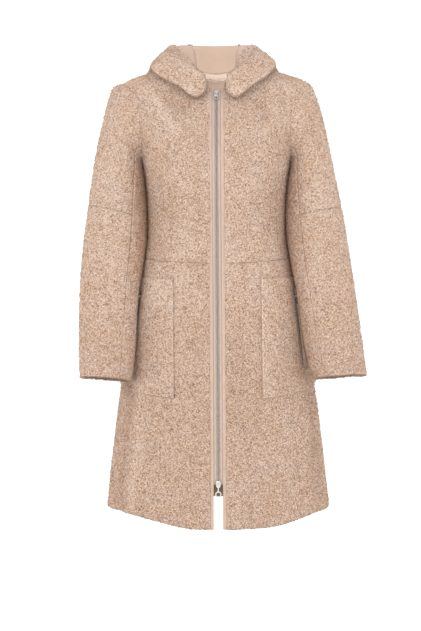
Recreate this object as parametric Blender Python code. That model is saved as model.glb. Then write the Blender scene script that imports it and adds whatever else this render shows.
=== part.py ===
"""Hooded teddy coat, hollow and filled out as it is worn, built from the pieces that a maker cuts.

Metres, +Z up, the front faces -Y and +X is the wearer's left. The origin lies midway between the two
points where the neckline crosses the shoulder seams, which is where the coat hangs on its wearer.

Every cloth piece is a wall: a grid of points on the cloth's outer side, which is as far as the pile
reaches, and the same grid moved in by the thickness of the cloth. The body's grids are read from one
torso form, the sleeves' from rings along each arm, and the hood's from sections round the neckline.
"""

import math

import bmesh
import bpy
import numpy as np
from mathutils import Matrix, Vector

# ------------------------------------------------------------------ driving dimensions
CLOTH = 0.007  # suede and pile together
HOOD_CLOTH = 0.005
SEAM_GAP = 0.0003
SQUARENESS = 2.3  # exponent of the body's sections: 2 is an ellipse

# ------------------------------------------------------------------ the body
TORSO_COLUMNS = ("height", "half_width", "front", "back")
TORSO_SECTIONS = (
    (0.012, 0.040, 0.030, 0.040),
    (0.000, 0.075, 0.044, 0.058),
    (-0.012, 0.112, 0.051, 0.073),
    (-0.023, 0.152, 0.056, 0.081),
    (-0.0365, 0.188, 0.062, 0.088),
    (-0.060, 0.198, 0.070, 0.097),
    (-0.100, 0.185, 0.093, 0.108),
    (-0.145, 0.167, 0.116, 0.115),
    (-0.205, 0.150, 0.134, 0.115),
    (-0.270, 0.1395, 0.130, 0.107),
    (-0.335, 0.1385, 0.117, 0.098),
    (-0.405, 0.152, 0.113, 0.099),
    (-0.480, 0.171, 0.118, 0.110),
    (-0.560, 0.185, 0.124, 0.122),
    (-0.680, 0.2025, 0.133, 0.136),
    (-0.800, 0.217, 0.143, 0.149),
    (-0.930, 0.231, 0.154, 0.162),
)
WAIST_SEAM = -0.409
WAIST_SIDE_RISE = 0.009
HEM_FRONT = -0.928
HEM_SIDE_RISE = 0.016
SWAY = 0.0045  # the hem hangs this far to the wearer's left of the neck

# Soft folds of the body: ridges are positive, troughs negative. The angle runs from the centre front,
# positive towards the wearer's left, and 180 is the centre back.
FOLD_COLUMNS = ("angle", "top", "bottom", "spread", "height")
BODY_FOLDS = (
    (-64, -0.560, -1.050, 8, -0.0050),
    (-49, -0.600, -1.050, 9, 0.0045),
    (-30, -0.520, -1.000, 10, -0.0022),
    (31, -0.500, -0.980, 9, 0.0030),
    (55, -0.640, -1.050, 9, 0.0030),
    (73, -0.560, -1.050, 8, -0.0050),
    (24, -0.070, -0.190, 9, -0.0030),
    (-26, -0.070, -0.185, 9, -0.0035),
    (112, -0.500, -1.050, 11, 0.0040),
    (136, -0.600, -1.050, 10, -0.0040),
    (165, -0.480, -1.050, 13, 0.0045),
    (-118, -0.520, -1.050, 12, 0.0045),
    (-143, -0.640, -1.050, 9, -0.0040),
    (-168, -0.560, -1.050, 10, -0.0035),
)

# The neckline and the armholes, in plan and in the side view.
NECK_HALF_WIDTH = 0.075
NECK_FRONT = 0.0695
NECK_BACK = 0.075
ARMHOLE_TOP = -0.0385
ARMHOLE_BOTTOM = -0.205
ARMHOLE_FRONT = 0.062
ARMHOLE_BACK = 0.066

# Grid counts
FRONT_NECK_STEPS = 6
BACK_NECK_STEPS = 10
SHOULDER_STEPS = 5
SIDE_STEPS = 4
ARMHOLE_STEPS = 10
BELOW_POCKET_STEPS = 4
FRONT_STEPS = FRONT_NECK_STEPS + SHOULDER_STEPS
BACK_STEPS = BACK_NECK_STEPS + 2 * SHOULDER_STEPS

# ------------------------------------------------------------------ the sleeves
# Each row is a ring: its inner and outer edge as seen from the front, the middle of its depth, half
# its depth, and how far its back edge hangs below its front edge, in degrees.
SLEEVE_COLUMNS = ("inner_x", "inner_z", "outer_x", "outer_z", "middle_y", "half_depth", "tilt")
LEFT_SLEEVE = (
    (0.1500, -0.205, 0.1905, -0.0385, 0.002, 0.064, 0),
    (0.1530, -0.211, 0.2030, -0.056, 0.001, 0.065, 0),
    (0.1520, -0.219, 0.2130, -0.083, -0.001, 0.065, 0),
    (0.1500, -0.233, 0.2245, -0.128, -0.006, 0.063, 2),
    (0.1480, -0.256, 0.2360, -0.188, -0.013, 0.061, 4),
    (0.1460, -0.300, 0.2510, -0.268, -0.024, 0.059, 6),
    (0.1500, -0.384, 0.2680, -0.377, -0.042, 0.055, 9),
    (0.1590, -0.470, 0.2785, -0.463, -0.064, 0.051, 13),
    (0.1730, -0.565, 0.2885, -0.556, -0.089, 0.047, 15),
    (0.1885, -0.652, 0.2957, -0.642, -0.112, 0.044, 15),
)
RIGHT_SLEEVE = (
    (0.1500, -0.205, 0.1905, -0.0385, 0.002, 0.064, 0),
    (0.1530, -0.211, 0.2110, -0.046, 0.001, 0.065, 0),
    (0.1520, -0.219, 0.2225, -0.073, -0.001, 0.065, 0),
    (0.1500, -0.233, 0.2340, -0.118, -0.006, 0.063, 2),
    (0.1490, -0.256, 0.2460, -0.178, -0.013, 0.061, 4),
    (0.1480, -0.300, 0.2590, -0.262, -0.024, 0.059, 6),
    (0.1500, -0.386, 0.2720, -0.378, -0.042, 0.055, 9),
    (0.1570, -0.470, 0.2775, -0.465, -0.064, 0.051, 13),
    (0.1640, -0.567, 0.2770, -0.560, -0.089, 0.047, 15),
    (0.1710, -0.652, 0.2740, -0.644, -0.112, 0.044, 15),
)
SLEEVE_STEPS = 17
SLEEVE_ELBOW_STEP = 10
SLEEVE_CAP_BLEND = 0.22  # share of the sleeve's rows in which the armhole's shape fades out
UNDER_SLEEVE_STEPS = 3  # the under sleeve's seams lie this many steps either side of the inner edge
SLEEVE_CLEARANCE = 0.002
SLEEVE_OFF_POCKET = 0.014

# ------------------------------------------------------------------ the hood, lying back on the shoulders
# Half of the hood, by how far round the neckline from the centre front (0) to the centre back (180).
# In each section the cloth runs up from the neckline over the ridge, down and under the fold, up
# round the hump and ends at the rim. Distances run out from the neckline along the heading; ridge,
# fold and hump are circles that the middle of the cloth is drawn round.
HOOD_COLUMNS = (
    "turn", "heading", "ridge_out", "ridge_z", "ridge_radius", "fold_out", "fold_z", "fold_radius",
    "hump_out", "hump_z", "hump_radius", "rim_out", "rim_z",
)
HOOD_SECTIONS = (
    (12, 16, 0.0060, -0.0480, 0.0055, 0.0195, -0.0560, 0.0050, 0.0150, -0.0410, 0.007, 0.006, -0.0320),
    (25, 20, 0.0065, -0.0350, 0.0060, 0.0290, -0.0690, 0.0060, 0.0225, -0.0320, 0.011, -0.004, -0.0165),
    (38, 26, 0.0080, -0.0195, 0.0070, 0.0370, -0.0510, 0.0070, 0.0280, -0.0200, 0.014, -0.011, -0.0015),
    (64, 55, 0.0090, 0.0025, 0.0080, 0.0510, -0.0230, 0.0070, 0.0225, 0.0000, 0.018, -0.010, 0.0200),
    (90, 90, 0.0100, 0.0055, 0.0085, 0.0370, -0.0065, 0.0070, 0.0105, -0.0080, 0.028, -0.004, 0.0325),
    (108, 110, 0.0130, 0.0210, 0.0100, 0.0520, -0.0120, 0.0090, 0.0290, -0.0090, 0.027, 0.021, 0.0395),
    (126, 128, 0.0205, 0.0362, 0.0120, 0.0830, -0.0560, 0.0140, 0.0350, -0.0280, 0.051, 0.042, 0.0405),
    (147, 158, 0.0210, 0.0402, 0.0125, 0.0750, -0.1500, 0.0180, -0.0060, -0.0680, 0.090, 0.052, 0.0415),
    (180, 180, 0.0200, 0.0415, 0.0120, 0.0660, -0.1760, 0.0180, 0.0105, -0.0855, 0.080, 0.060, 0.0200),
)
HOOD_ROWS = (1, 4, 2, 4, 2, 2, 2)  # steps up to the ridge, over it, down, under the fold, up, hump, rim
HOOD_STEPS = sum(HOOD_ROWS)
HOOD_GUSSET_COLUMN = FRONT_NECK_STEPS + 3
HOOD_CLEARANCE = 0.0045
HOOD_LEAN = -0.007  # the lying hood leans towards the wearer's right

# ------------------------------------------------------------------ pockets
POCKET_TOP = -0.440
POCKET_BOTTOM = -0.676
POCKET_BOTTOM_RISE = 0.020
POCKET_INNER_X = 0.087
POCKET_CLOTH = 0.0045
PATCH_GAP = 0.0005
POCKET_SIDE_ANGLE = 86.0
POCKET_ZIP_ANGLE_TOP = 64.5
POCKET_ZIP_ANGLE_BOTTOM = 57.5
POCKET_ZIP_TOP = -0.464
POCKET_ZIP_BOTTOM = -0.618
POCKET_ZIP_HALF_WIDTH = 0.0076
POCKET_ZIP_ROWS = 5

# ------------------------------------------------------------------ neck tape, loop and hood bindings
LOOP_X = -0.0085
LOOP_LENGTH = 0.030
LOOP_STAND = 0.003
BINDING_WIDTH = 0.0045

# ------------------------------------------------------------------ the front zip
# Strips from the zip's middle outwards, on both sides. Depths are measured in from the pile's reach.
ZIP_COLUMNS = ("name", "inner_x", "outer_x", "outer_depth", "inner_depth", "bottom")
ZIP_STRIPS = (
    ("zip_chain", 0.00015, 0.0033, 0.0024, 0.0050, -0.8445),
    ("zip_tape", 0.0036, 0.0095, 0.0033, 0.0043, -0.8415),
    ("zip_binding", 0.0098, 0.0153, 0.0012, 0.0052, HEM_FRONT),
)
FRONT_EDGE_X = 0.0156
ZIP_STEPS = 22
ZIP_TOP_DROP = 0.0015
TOP_SLIDER_Z = -0.0665
BOTTOM_SLIDER_Z = -0.8415
SLIDER_CHAIN_END = 0.0028  # the teeth end this far above the top slider's middle, under its wedge

SUEDE = ("suede", (0.62, 0.45, 0.35), 0.75, 0.0)
PILE = ("teddy_pile", (0.60, 0.42, 0.31), 0.95, 0.0)
TAPE = ("zip_tape", (0.56, 0.43, 0.34), 0.8, 0.0)
METAL = ("nickel", (0.75, 0.74, 0.72), 0.25, 1.0)
METAL_TEETH = ("zip_teeth", (0.50, 0.42, 0.36), 0.5, 0.0)


# ------------------------------------------------------------------ small tools
def smooth_through(knots, values, at):
    """Smooth curve through the values at the knots, which may fall or rise, read at other places."""
    knots, values, at = (np.asarray(v, float) for v in (knots, values, at))
    if knots[0] > knots[-1]:
        knots, values = knots[::-1], values[::-1]
    at = np.clip(at, knots[0], knots[-1])
    step = np.diff(knots)
    slope = np.diff(values) / step
    inner = (slope[:-1] * step[1:] + slope[1:] * step[:-1]) / (step[1:] + step[:-1])
    inner = np.where(slope[:-1] * slope[1:] <= 0, 0.0, inner)
    tangent = np.concatenate([slope[:1], inner, slope[-1:]])
    i = np.clip(np.searchsorted(knots, at) - 1, 0, len(step) - 1)
    t = (at - knots[i]) / step[i]
    return (
        values[i] * (1 + 2 * t) * (1 - t) ** 2
        + values[i + 1] * t * t * (3 - 2 * t)
        + tangent[i] * step[i] * t * (1 - t) ** 2
        + tangent[i + 1] * step[i] * t * t * (t - 1)
    )


def read_table(rows, columns, name, at, key=None):
    """A named column of a table, read between its rows. The key column defaults to the first."""
    keys = [row[columns.index(key)] for row in rows] if key else [row[0] for row in rows]
    return smooth_through(keys, [row[columns.index(name)] for row in rows], at)


def unit(vectors):
    length = np.linalg.norm(vectors, axis=-1, keepdims=True)
    return vectors / np.maximum(length, 1e-12)


def ease(share):
    share = np.clip(share, 0.0, 1.0)
    return share * share * (3 - 2 * share)


# ------------------------------------------------------------------ the torso form
def torso_sizes(height):
    return tuple(
        read_table(TORSO_SECTIONS, TORSO_COLUMNS, name, height)
        for name in ("half_width", "front", "back")
    )


def fold_relief(angle, height):
    """How far the cloth stands out of the plain form, in metres, at an angle in radians."""
    relief = np.zeros(np.broadcast(angle, height).shape)
    for fold_angle, top, bottom, spread, fold_height in BODY_FOLDS:
        away = np.degrees(angle) - fold_angle
        away = (away + 180) % 360 - 180
        along = ease((top - height) / 0.16) * ease((height - bottom) / 0.10)
        relief = relief + fold_height * along * np.exp(-((away / spread) ** 2))
    return relief


def torso(angle, height):
    """Point of the plain form at an angle from the centre front and a height."""
    half_width, front, back = torso_sizes(height)
    sine, cosine = np.sin(angle), np.cos(angle)
    power = 2 / SQUARENESS
    x = half_width * np.sign(sine) * np.abs(sine) ** power
    y = -np.where(cosine >= 0, front, back) * np.sign(cosine) * np.abs(cosine) ** power
    return np.stack(np.broadcast_arrays(x, y, height), axis=-1)


def torso_level(points):
    """1 on the plain form, less inside it and more outside it."""
    half_width, front, back = torso_sizes(points[..., 2])
    depth = np.where(points[..., 1] < 0, front, back)
    total = np.abs(points[..., 0] / half_width) ** SQUARENESS
    total = total + np.abs(points[..., 1] / depth) ** SQUARENESS
    return total ** (1 / SQUARENESS)


def level_slope(points):
    step = 0.001
    return np.stack(
        [
            (torso_level(points + step * way) - torso_level(points - step * way)) / (2 * step)
            for way in np.eye(3)
        ],
        axis=-1,
    )


def onto_torso(points):
    """Moves points to the nearest place on the plain form."""
    for _ in range(8):
        slope = level_slope(points)
        steepness = np.maximum(np.sum(slope * slope, axis=-1, keepdims=True), 1e-9)
        points = points - (torso_level(points)[..., None] - 1) * slope / steepness
    return points


def keep_off_torso(points, clearance):
    """Moves points that lie nearer to the body than the clearance out to it."""
    nearest = onto_torso(points)
    away = unit(level_slope(nearest))
    apart = np.sum((points - nearest) * away, axis=-1)
    clear = nearest + np.broadcast_to(clearance, apart.shape)[..., None] * away
    return np.where((apart < clearance)[..., None], clear, points)


def with_folds(points):
    """Points of the plain form moved out to the cloth's folds, and the form's normals there."""
    normals = unit(level_slope(points))
    angle = angle_of(points[..., 0], points[..., 1], points[..., 2])
    relief = fold_relief(angle, points[..., 2])
    outwards = np.stack([np.sin(angle), -np.cos(angle), 0 * angle], axis=-1)
    return points + relief[..., None] * outwards, normals


def sway(points):
    """The whole coat leans a little, more towards its hem."""
    points = np.array(points, float)
    points[..., 0] += SWAY * (ease(-points[..., 2] / 0.93) - 0.2)
    return points


def height_over(x, y):
    """Height of the shoulders' upper side over a point in plan."""
    low, high = np.full(np.shape(x), -0.20), np.full(np.shape(x), 0.0)
    for _ in range(40):
        middle = (low + high) / 2
        inside = torso_level(np.stack([x, y, middle], axis=-1)) < 1
        low, high = np.where(inside, middle, low), np.where(inside, high, middle)
    return (low + high) / 2


def angle_of(x, y, height):
    """The torso angle at which the plain form passes through x and y at a height."""
    half_width, front, back = torso_sizes(height)
    depth = np.where(y < 0, front, back)
    across = np.sign(x) * np.abs(x / half_width) ** (SQUARENESS / 2)
    along = -np.sign(y) * np.abs(y / depth) ** (SQUARENESS / 2)
    return np.arctan2(across, along)


def front_edge_angle(height):
    half_width = torso_sizes(height)[0]
    return np.arcsin((FRONT_EDGE_X / half_width) ** (SQUARENESS / 2))


def waist_height(angle):
    return WAIST_SEAM + WAIST_SIDE_RISE * np.sin(angle) ** 2


def hem_height(angle):
    return HEM_FRONT + HEM_SIDE_RISE * np.sin(angle) ** 2


# ------------------------------------------------------------------ seams shared by the pieces
def neckline(turn):
    """(angle, height) on the torso form; turn runs from 0 at the centre front to pi at the back."""
    x = NECK_HALF_WIDTH * np.sin(turn)
    y = np.where(np.cos(turn) > 0, -NECK_FRONT, -NECK_BACK) * np.cos(turn)
    height = height_over(x, y)
    return np.stack([angle_of(x, y, height), height], axis=-1)


def neck_turns():
    """Turns of the half neckline's points, from the front edge to the centre back."""
    start = math.asin(FRONT_EDGE_X / NECK_HALF_WIDTH)
    front = np.linspace(start, math.pi / 2, FRONT_NECK_STEPS + 1)
    back = np.linspace(math.pi / 2, math.pi, BACK_NECK_STEPS // 2 + 1)
    return np.concatenate([front, back[1:]])


def armhole(turn, front):
    """(angle, height) on the torso form; turn runs from 0 at the armpit to pi at the shoulder."""
    height = ARMHOLE_BOTTOM + (ARMHOLE_TOP - ARMHOLE_BOTTOM) * (1 - np.cos(turn)) / 2
    depth = (-ARMHOLE_FRONT if front else ARMHOLE_BACK) * np.sin(turn)
    half_width, front_depth, back_depth = torso_sizes(height)
    share = np.abs(depth) / (front_depth if front else back_depth)
    x = half_width * (1 - share**SQUARENESS) ** (1 / SQUARENESS)
    return np.stack([angle_of(x, depth, height), height], axis=-1)


def shoulder_seam(steps):
    heights = np.linspace(0.0, ARMHOLE_TOP, steps + 1)
    return np.stack([np.full(steps + 1, math.pi / 2), heights], axis=-1)


def side_and_armhole(front):
    """The outer edge of a bodice panel: up the side seam, then round half of the armhole."""
    turns = np.linspace(0, math.pi, ARMHOLE_STEPS + 1)
    bottom = float(waist_height(math.pi / 2))
    heights = np.linspace(bottom, ARMHOLE_BOTTOM, SIDE_STEPS + 1)
    side = np.stack([np.full(SIDE_STEPS + 1, math.pi / 2), heights], axis=-1)
    return np.concatenate([side, armhole(turns, front)[1:]])


def share_along(line):
    """Share of a line's length at each of its points."""
    lengths = np.linalg.norm(np.diff(line, axis=0), axis=-1)
    return np.concatenate([[0.0], np.cumsum(lengths)]) / np.sum(lengths)


def fill_between(bottom, top, left, right):
    """Grid between four edges that meet at their ends: rows run from bottom to top."""
    across = np.linspace(0, 1, len(bottom))[None, :, None]
    up = np.linspace(0, 1, len(left))[:, None, None]
    u = (1 - up) * share_along(bottom)[None, :, None] + up * share_along(top)[None, :, None]
    v = (1 - across) * share_along(left)[:, None, None] + across * share_along(right)[:, None, None]
    flat = (1 - v) * bottom[None] + v * top[None] + (1 - u) * left[:, None] + u * right[:, None]
    corners = (1 - u) * (1 - v) * bottom[0] + u * (1 - v) * bottom[-1]
    return flat - corners - (1 - u) * v * top[0] - u * v * top[-1]


# ------------------------------------------------------------------ walls
LONGEST_MITRE = 1.35


def mitre(first_normal, second_normal, first_way, second_way):
    """Offset that moves a seam's point through both cloths. The ways lead off the seam into each."""
    total = first_normal + second_normal
    length = np.linalg.norm(total, axis=-1, keepdims=True)
    folded = np.clip((0.9 - length) / 0.9, 0, 1)
    reach = np.minimum(2 / np.maximum(length, 1e-6), LONGEST_MITRE)
    return reach * unit(total + folded * (unit(first_way) + unit(second_way)))


def seam_shift(outer, inner, line, neighbour, axis):
    """Unit vectors that lead off one border of a wall, at right angles to the border's face."""
    outer, inner = np.moveaxis(outer, axis, 0), np.moveaxis(inner, axis, 0)
    middle = (outer + inner) / 2
    face = np.cross(np.gradient(middle[line], axis=0), outer[line] - inner[line])
    face = unit(face)
    inwards = np.sum(face * (middle[neighbour] - middle[line]), axis=-1, keepdims=True)
    return face * np.where(inwards < 0, -1.0, 1.0)


def part_seams(outer, inner):
    """Moves the borders of a wall in by half of the gap that the seams keep."""
    moves = np.zeros(outer.shape)
    half_gap = SEAM_GAP / 2 + 0.00002
    for line, neighbour in ((0, 1), (-1, -2)):
        moves[line] += half_gap * seam_shift(outer, inner, line, neighbour, 0)
        moves[:, line] += half_gap * seam_shift(outer, inner, line, neighbour, 1)
    return outer + moves, inner + moves


SEAM_FOLD = np.array([0.31, 0.47, 0.83])  # the two sides of a seam are folded by the same rule


def wall_mesh(name, outer, inner, missing=()):
    """Closed mesh between two grids of points. Cells named in missing are left open.

    Each cell is folded along the shorter of its diagonals, the same way on both sides.
    """
    rows, columns = outer.shape[:2]
    cells = {(i, j) for i in range(rows - 1) for j in range(columns - 1)} - set(missing)
    mesh = bmesh.new()
    made = {}

    def corner(side, i, j):
        if (side, i, j) not in made:
            made[side, i, j] = mesh.verts.new((outer, inner)[side][i, j])
        return made[side, i, j]

    for i, j in sorted(cells):
        ring = ((i, j), (i, j + 1), (i + 1, j + 1), (i + 1, j))
        points = [outer[c] for c in ring]
        second = np.linalg.norm(points[3] - points[1]) < np.linalg.norm(points[2] - points[0])
        a, b, c, d = ring[1:] + ring[:1] if second else ring
        for triangle in ((a, b, c), (a, c, d)):
            mesh.faces.new([corner(0, *point) for point in triangle])
            mesh.faces.new([corner(1, *point) for point in reversed(triangle)])
        neighbours = ((i - 1, j), (i, j + 1), (i + 1, j), (i, j - 1))
        for n, neighbour in enumerate(neighbours):
            if neighbour not in cells:
                a, b = ring[n], ring[(n + 1) % 4]
                edge = [corner(0, *b), corner(0, *a), corner(1, *a), corner(1, *b)]
                start = int(np.dot(outer[a] - outer[b], SEAM_FOLD) > 0)
                edge = edge[start:] + edge[:start]
                mesh.faces.new(edge[:3])
                mesh.faces.new([edge[0], edge[2], edge[3]])
    return finish_mesh(name, mesh)


def finish_mesh(name, mesh):
    bmesh.ops.recalc_face_normals(mesh, faces=mesh.faces)
    data = bpy.data.meshes.new(name)
    mesh.to_mesh(data)
    mesh.free()
    data.shade_smooth()
    data.set_sharp_from_angle(angle=math.radians(50))
    return data


def make_material(slot, colour, roughness, metallic):
    material = bpy.data.materials.get(slot) or bpy.data.materials.new(slot)
    material.use_nodes = True
    shader = material.node_tree.nodes["Principled BSDF"]
    shader.inputs["Base Color"].default_value = (*colour, 1.0)
    shader.inputs["Roughness"].default_value = roughness
    shader.inputs["Metallic"].default_value = metallic
    material.diffuse_color = (*colour, 1.0)
    return material


def place(name, data, finish):
    data.materials.append(make_material(*finish))
    item = bpy.data.objects.new(name, data)
    bpy.context.scene.collection.objects.link(item)
    return item


def cloth_wall(name, outer, inner, finish, missing=()):
    outer, inner = part_seams(outer, inner)
    return place(name, wall_mesh(name, sway(outer), sway(inner), missing), finish)


# ------------------------------------------------------------------ bodice and skirt
def on_side(domain, side):
    """A grid of (angle, height) on the wearer's left (1) or right (-1)."""
    return domain * np.array([side, 1.0])


def form_points(domain):
    return torso(domain[..., 0], domain[..., 1])


def panel_points(domain):
    return with_folds(form_points(domain))


def waist_angles(front):
    """Angles of the panel columns along the waist seam, for half of the body."""
    if front:
        return front_angles(WAIST_SEAM)
    return np.linspace(math.pi / 2, math.pi, BACK_STEPS // 2 + 1)


def front_bodice_form(side):
    """The front bodice on one side, on the plain form: rows rise from the waist seam."""
    angles = waist_angles(True)
    bottom = np.stack([angles, waist_height(angles)], axis=-1)
    neck = neckline(neck_turns()[: FRONT_NECK_STEPS + 1])
    neck[-1] = (math.pi / 2, 0.0)
    top = np.concatenate([neck, shoulder_seam(SHOULDER_STEPS)[1:]])
    right = side_and_armhole(True)
    heights = np.linspace(bottom[0, 1], top[0, 1], len(right))
    left = np.stack([front_edge_angle(heights), heights], axis=-1)
    left[0], left[-1], right[-1] = bottom[0], top[0], top[-1]
    edges = [form_points(on_side(edge, side)) for edge in (bottom, top, left, right)]
    return onto_torso(fill_between(*edges))


def back_bodice_form():
    half = waist_angles(False)
    angles = np.concatenate([half, 2 * math.pi - half[::-1][1:]])
    bottom = np.stack([angles, waist_height(angles)], axis=-1)
    neck = neckline(neck_turns()[FRONT_NECK_STEPS:])
    neck[0] = (math.pi / 2, 0.0)
    half_top = np.concatenate([shoulder_seam(SHOULDER_STEPS)[::-1], neck[1:]])
    mirrored = half_top[::-1][1:] * np.array([-1.0, 1.0]) + np.array([2 * math.pi, 0.0])
    top = np.concatenate([half_top, mirrored])
    left = side_and_armhole(False)
    left[-1] = top[0]
    right = left * np.array([-1.0, 1.0]) + np.array([2 * math.pi, 0.0])
    return onto_torso(fill_between(*[form_points(edge) for edge in (bottom, top, left, right)]))


def front_angles(height):
    """Angles of a front panel's columns at a height. Some of them are the pocket's seams."""
    half_width = float(torso_sizes(height)[0])
    edge = math.asin((FRONT_EDGE_X / half_width) ** (SQUARENESS / 2))
    inner = math.asin((POCKET_INNER_X / half_width) ** (SQUARENESS / 2))
    share = (POCKET_TOP - height) / (POCKET_TOP - POCKET_BOTTOM)
    middle = math.radians(POCKET_ZIP_ANGLE_TOP + share * (POCKET_ZIP_ANGLE_BOTTOM - POCKET_ZIP_ANGLE_TOP))
    half = POCKET_ZIP_HALF_WIDTH / half_width / 0.93
    side = math.radians(POCKET_SIDE_ANGLE)
    stops = (edge, inner, middle - half, middle + half, side, math.pi / 2)
    runs = [np.linspace(a, b, steps + 1) for a, b, steps in zip(stops, stops[1:], PANEL_RUNS)]
    return np.concatenate([run[(n > 0) :] for n, run in enumerate(runs)])


PANEL_RUNS = (3, 4, 1, 2, 1)  # columns to the pocket, to its slot, the slot, to its side, to the seam
POCKET_INNER_COLUMN, POCKET_SLOT_COLUMN, POCKET_SIDE_COLUMN = 3, 7, 10
POCKET_TOP_ROW, POCKET_ZIP_ROW = 1, 2
POCKET_BOTTOM_ROW = POCKET_ZIP_ROW + POCKET_ZIP_ROWS + 2


def front_skirt_domain():
    """(angle, height) of a front skirt, rows from the waist seam down to the hem."""
    zip_rows = np.linspace(POCKET_ZIP_TOP, POCKET_ZIP_BOTTOM, POCKET_ZIP_ROWS + 1)
    middle = (POCKET_ZIP_BOTTOM + POCKET_BOTTOM) / 2
    heights = [WAIST_SEAM, POCKET_TOP, *zip_rows, middle, POCKET_BOTTOM]
    rows = []
    for n, height in enumerate(heights):
        angles = front_angles(height)
        inner, side = angles[POCKET_INNER_COLUMN], angles[POCKET_SIDE_COLUMN]
        lift = POCKET_BOTTOM_RISE * max(0, n - POCKET_BOTTOM_ROW + 2) / 2
        levels = height + lift * np.clip((angles - inner) / (side - inner), 0, 1.06)
        rows.append((angles, waist_height(angles) if n == 0 else levels))
    start = rows[-1][1]
    for share in np.linspace(0, 1, BELOW_POCKET_STEPS + 1)[1:]:
        angles = front_angles(POCKET_BOTTOM + share * (HEM_FRONT - POCKET_BOTTOM))
        rows.append((angles, start + share * (hem_height(angles) - start)))
    return np.array([np.stack(row, axis=-1) for row in rows])


def back_skirt_domain():
    half = waist_angles(False)
    angles = np.concatenate([half, 2 * math.pi - half[::-1][1:]])[None, :]
    front = front_skirt_domain()[:, -1, 1]
    share = ((front - front[0]) / (front[-1] - front[0]))[:, None]
    heights = waist_height(angles) + share * (hem_height(angles) - waist_height(angles))
    return np.stack([angles + 0 * heights, heights], axis=-1)


def build_body():
    """Bodice and skirt panels. Returns the bodice's grids, which the sleeves and the hood join."""
    grids = {}
    for side, word in ((1, "left"), (-1, "right")):
        grids[f"front_bodice_{word}"] = with_folds(front_bodice_form(side))
        domain = on_side(front_skirt_domain(), side)
        grids[f"front_skirt_{word}"] = panel_points(domain)
    grids["back_bodice"] = with_folds(back_bodice_form())
    grids["back_skirt"] = panel_points(back_skirt_domain())
    return grids


# ------------------------------------------------------------------ sleeves
def armhole_ring(side):
    """Armhole points as a closed ring from the armpit up the front, over and down the back."""
    turns = np.linspace(0, math.pi, ARMHOLE_STEPS + 1)
    front, back = armhole(turns, True), armhole(turns, False)[::-1]
    domain = on_side(np.concatenate([front, back[1:]]), side)
    return panel_points(domain)


def sleeve_grid(rows, side):
    """Grid of a whole sleeve: rows from the armhole to the cuff, columns once round, closed."""
    ring, _ = armhole_ring(side)
    turn = np.linspace(0, 2 * math.pi, 2 * ARMHOLE_STEPS + 1)[None, :]
    knots = np.arange(len(rows))
    at = np.linspace(0, len(rows) - 1, SLEEVE_STEPS + 1)
    size = {
        name: smooth_through(knots, [row[n] for row in rows], at)[:, None]
        for n, name in enumerate(SLEEVE_COLUMNS)
    }
    middle_x = (size["inner_x"] + size["outer_x"]) / 2
    middle_z = (size["inner_z"] + size["outer_z"]) / 2
    reach = -np.cos(turn)
    depth = -size["half_depth"] * np.sin(turn)
    tilt = np.radians(size["tilt"])
    x = middle_x + reach * (size["outer_x"] - size["inner_x"]) / 2
    y = size["middle_y"] + depth * np.cos(tilt)
    z = middle_z + reach * (size["outer_z"] - size["inner_z"]) / 2 - depth * np.sin(tilt)
    rings = np.stack([side * x, y, z], axis=-1)
    fade = 1 - ease(np.linspace(0, 1, SLEEVE_STEPS + 1) / SLEEVE_CAP_BLEND)[:, None, None]
    grid = rings + fade * (ring - rings[0])
    low = ease((POCKET_TOP + 0.14 - grid[..., 2]) / 0.14)
    clearance = SLEEVE_CLEARANCE + low * (SLEEVE_OFF_POCKET - SLEEVE_CLEARANCE)
    grid[1:] = keep_off_torso(grid[1:], clearance[1:])
    return grid


def grid_normals(grid, closed=False):
    """Unit normals of a grid of points. A closed grid repeats its first column as its last."""
    down = np.gradient(grid, axis=0)
    if closed:
        wrapped = np.concatenate([grid[:, -2:-1], grid, grid[:, 1:2]], axis=1)
        across = (wrapped[:, 2:] - wrapped[:, :-2]) / 2
    else:
        across = np.gradient(grid, axis=1)
    return unit(np.cross(across, down))


def build_sleeves(grids):
    for side, word, rows in ((1, "left", LEFT_SLEEVE), (-1, "right", RIGHT_SLEEVE)):
        grid = sleeve_grid(rows, side)
        normals = -side * grid_normals(grid, closed=True)
        front, front_offsets = grids[f"front_bodice_{word}"]
        back, back_offsets = grids["back_bodice"]
        column, inwards = (0, 1) if side > 0 else (-1, -2)
        rising = slice(SIDE_STEPS, None)
        front_way = front[rising, -2] - front[rising, -1]
        back_way = back[rising, inwards] - back[rising, column]
        body_way = np.concatenate([front_way, back_way[::-1][1:]])
        body_way[0] = body_way[-1] = front[SIDE_STEPS - 1, -1] - front[SIDE_STEPS, -1]
        seam = mitre(armhole_ring(side)[1], normals[0], body_way, grid[1] - grid[0])
        normals[0] = seam
        front_offsets[rising, -1] = seam[: ARMHOLE_STEPS + 1]
        back_offsets[rising, column] = seam[ARMHOLE_STEPS:][::-1]
        grids[f"sleeve_{word}"] = (grid, normals)


def split_sleeves(grids):
    u = UNDER_SLEEVE_STEPS
    for word in ("left", "right"):
        points, normals = grids.pop(f"sleeve_{word}")
        top, elbow = slice(u, 2 * ARMHOLE_STEPS - u + 1), SLEEVE_ELBOW_STEP
        grids[f"sleeve_upper_{word}"] = (points[: elbow + 1, top], normals[: elbow + 1, top])
        grids[f"sleeve_lower_{word}"] = (points[elbow:, top], normals[elbow:, top])
        around = [*range(2 * ARMHOLE_STEPS - u, 2 * ARMHOLE_STEPS), *range(u + 1)]
        grids[f"sleeve_under_{word}"] = (points[:, around], normals[:, around])


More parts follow.
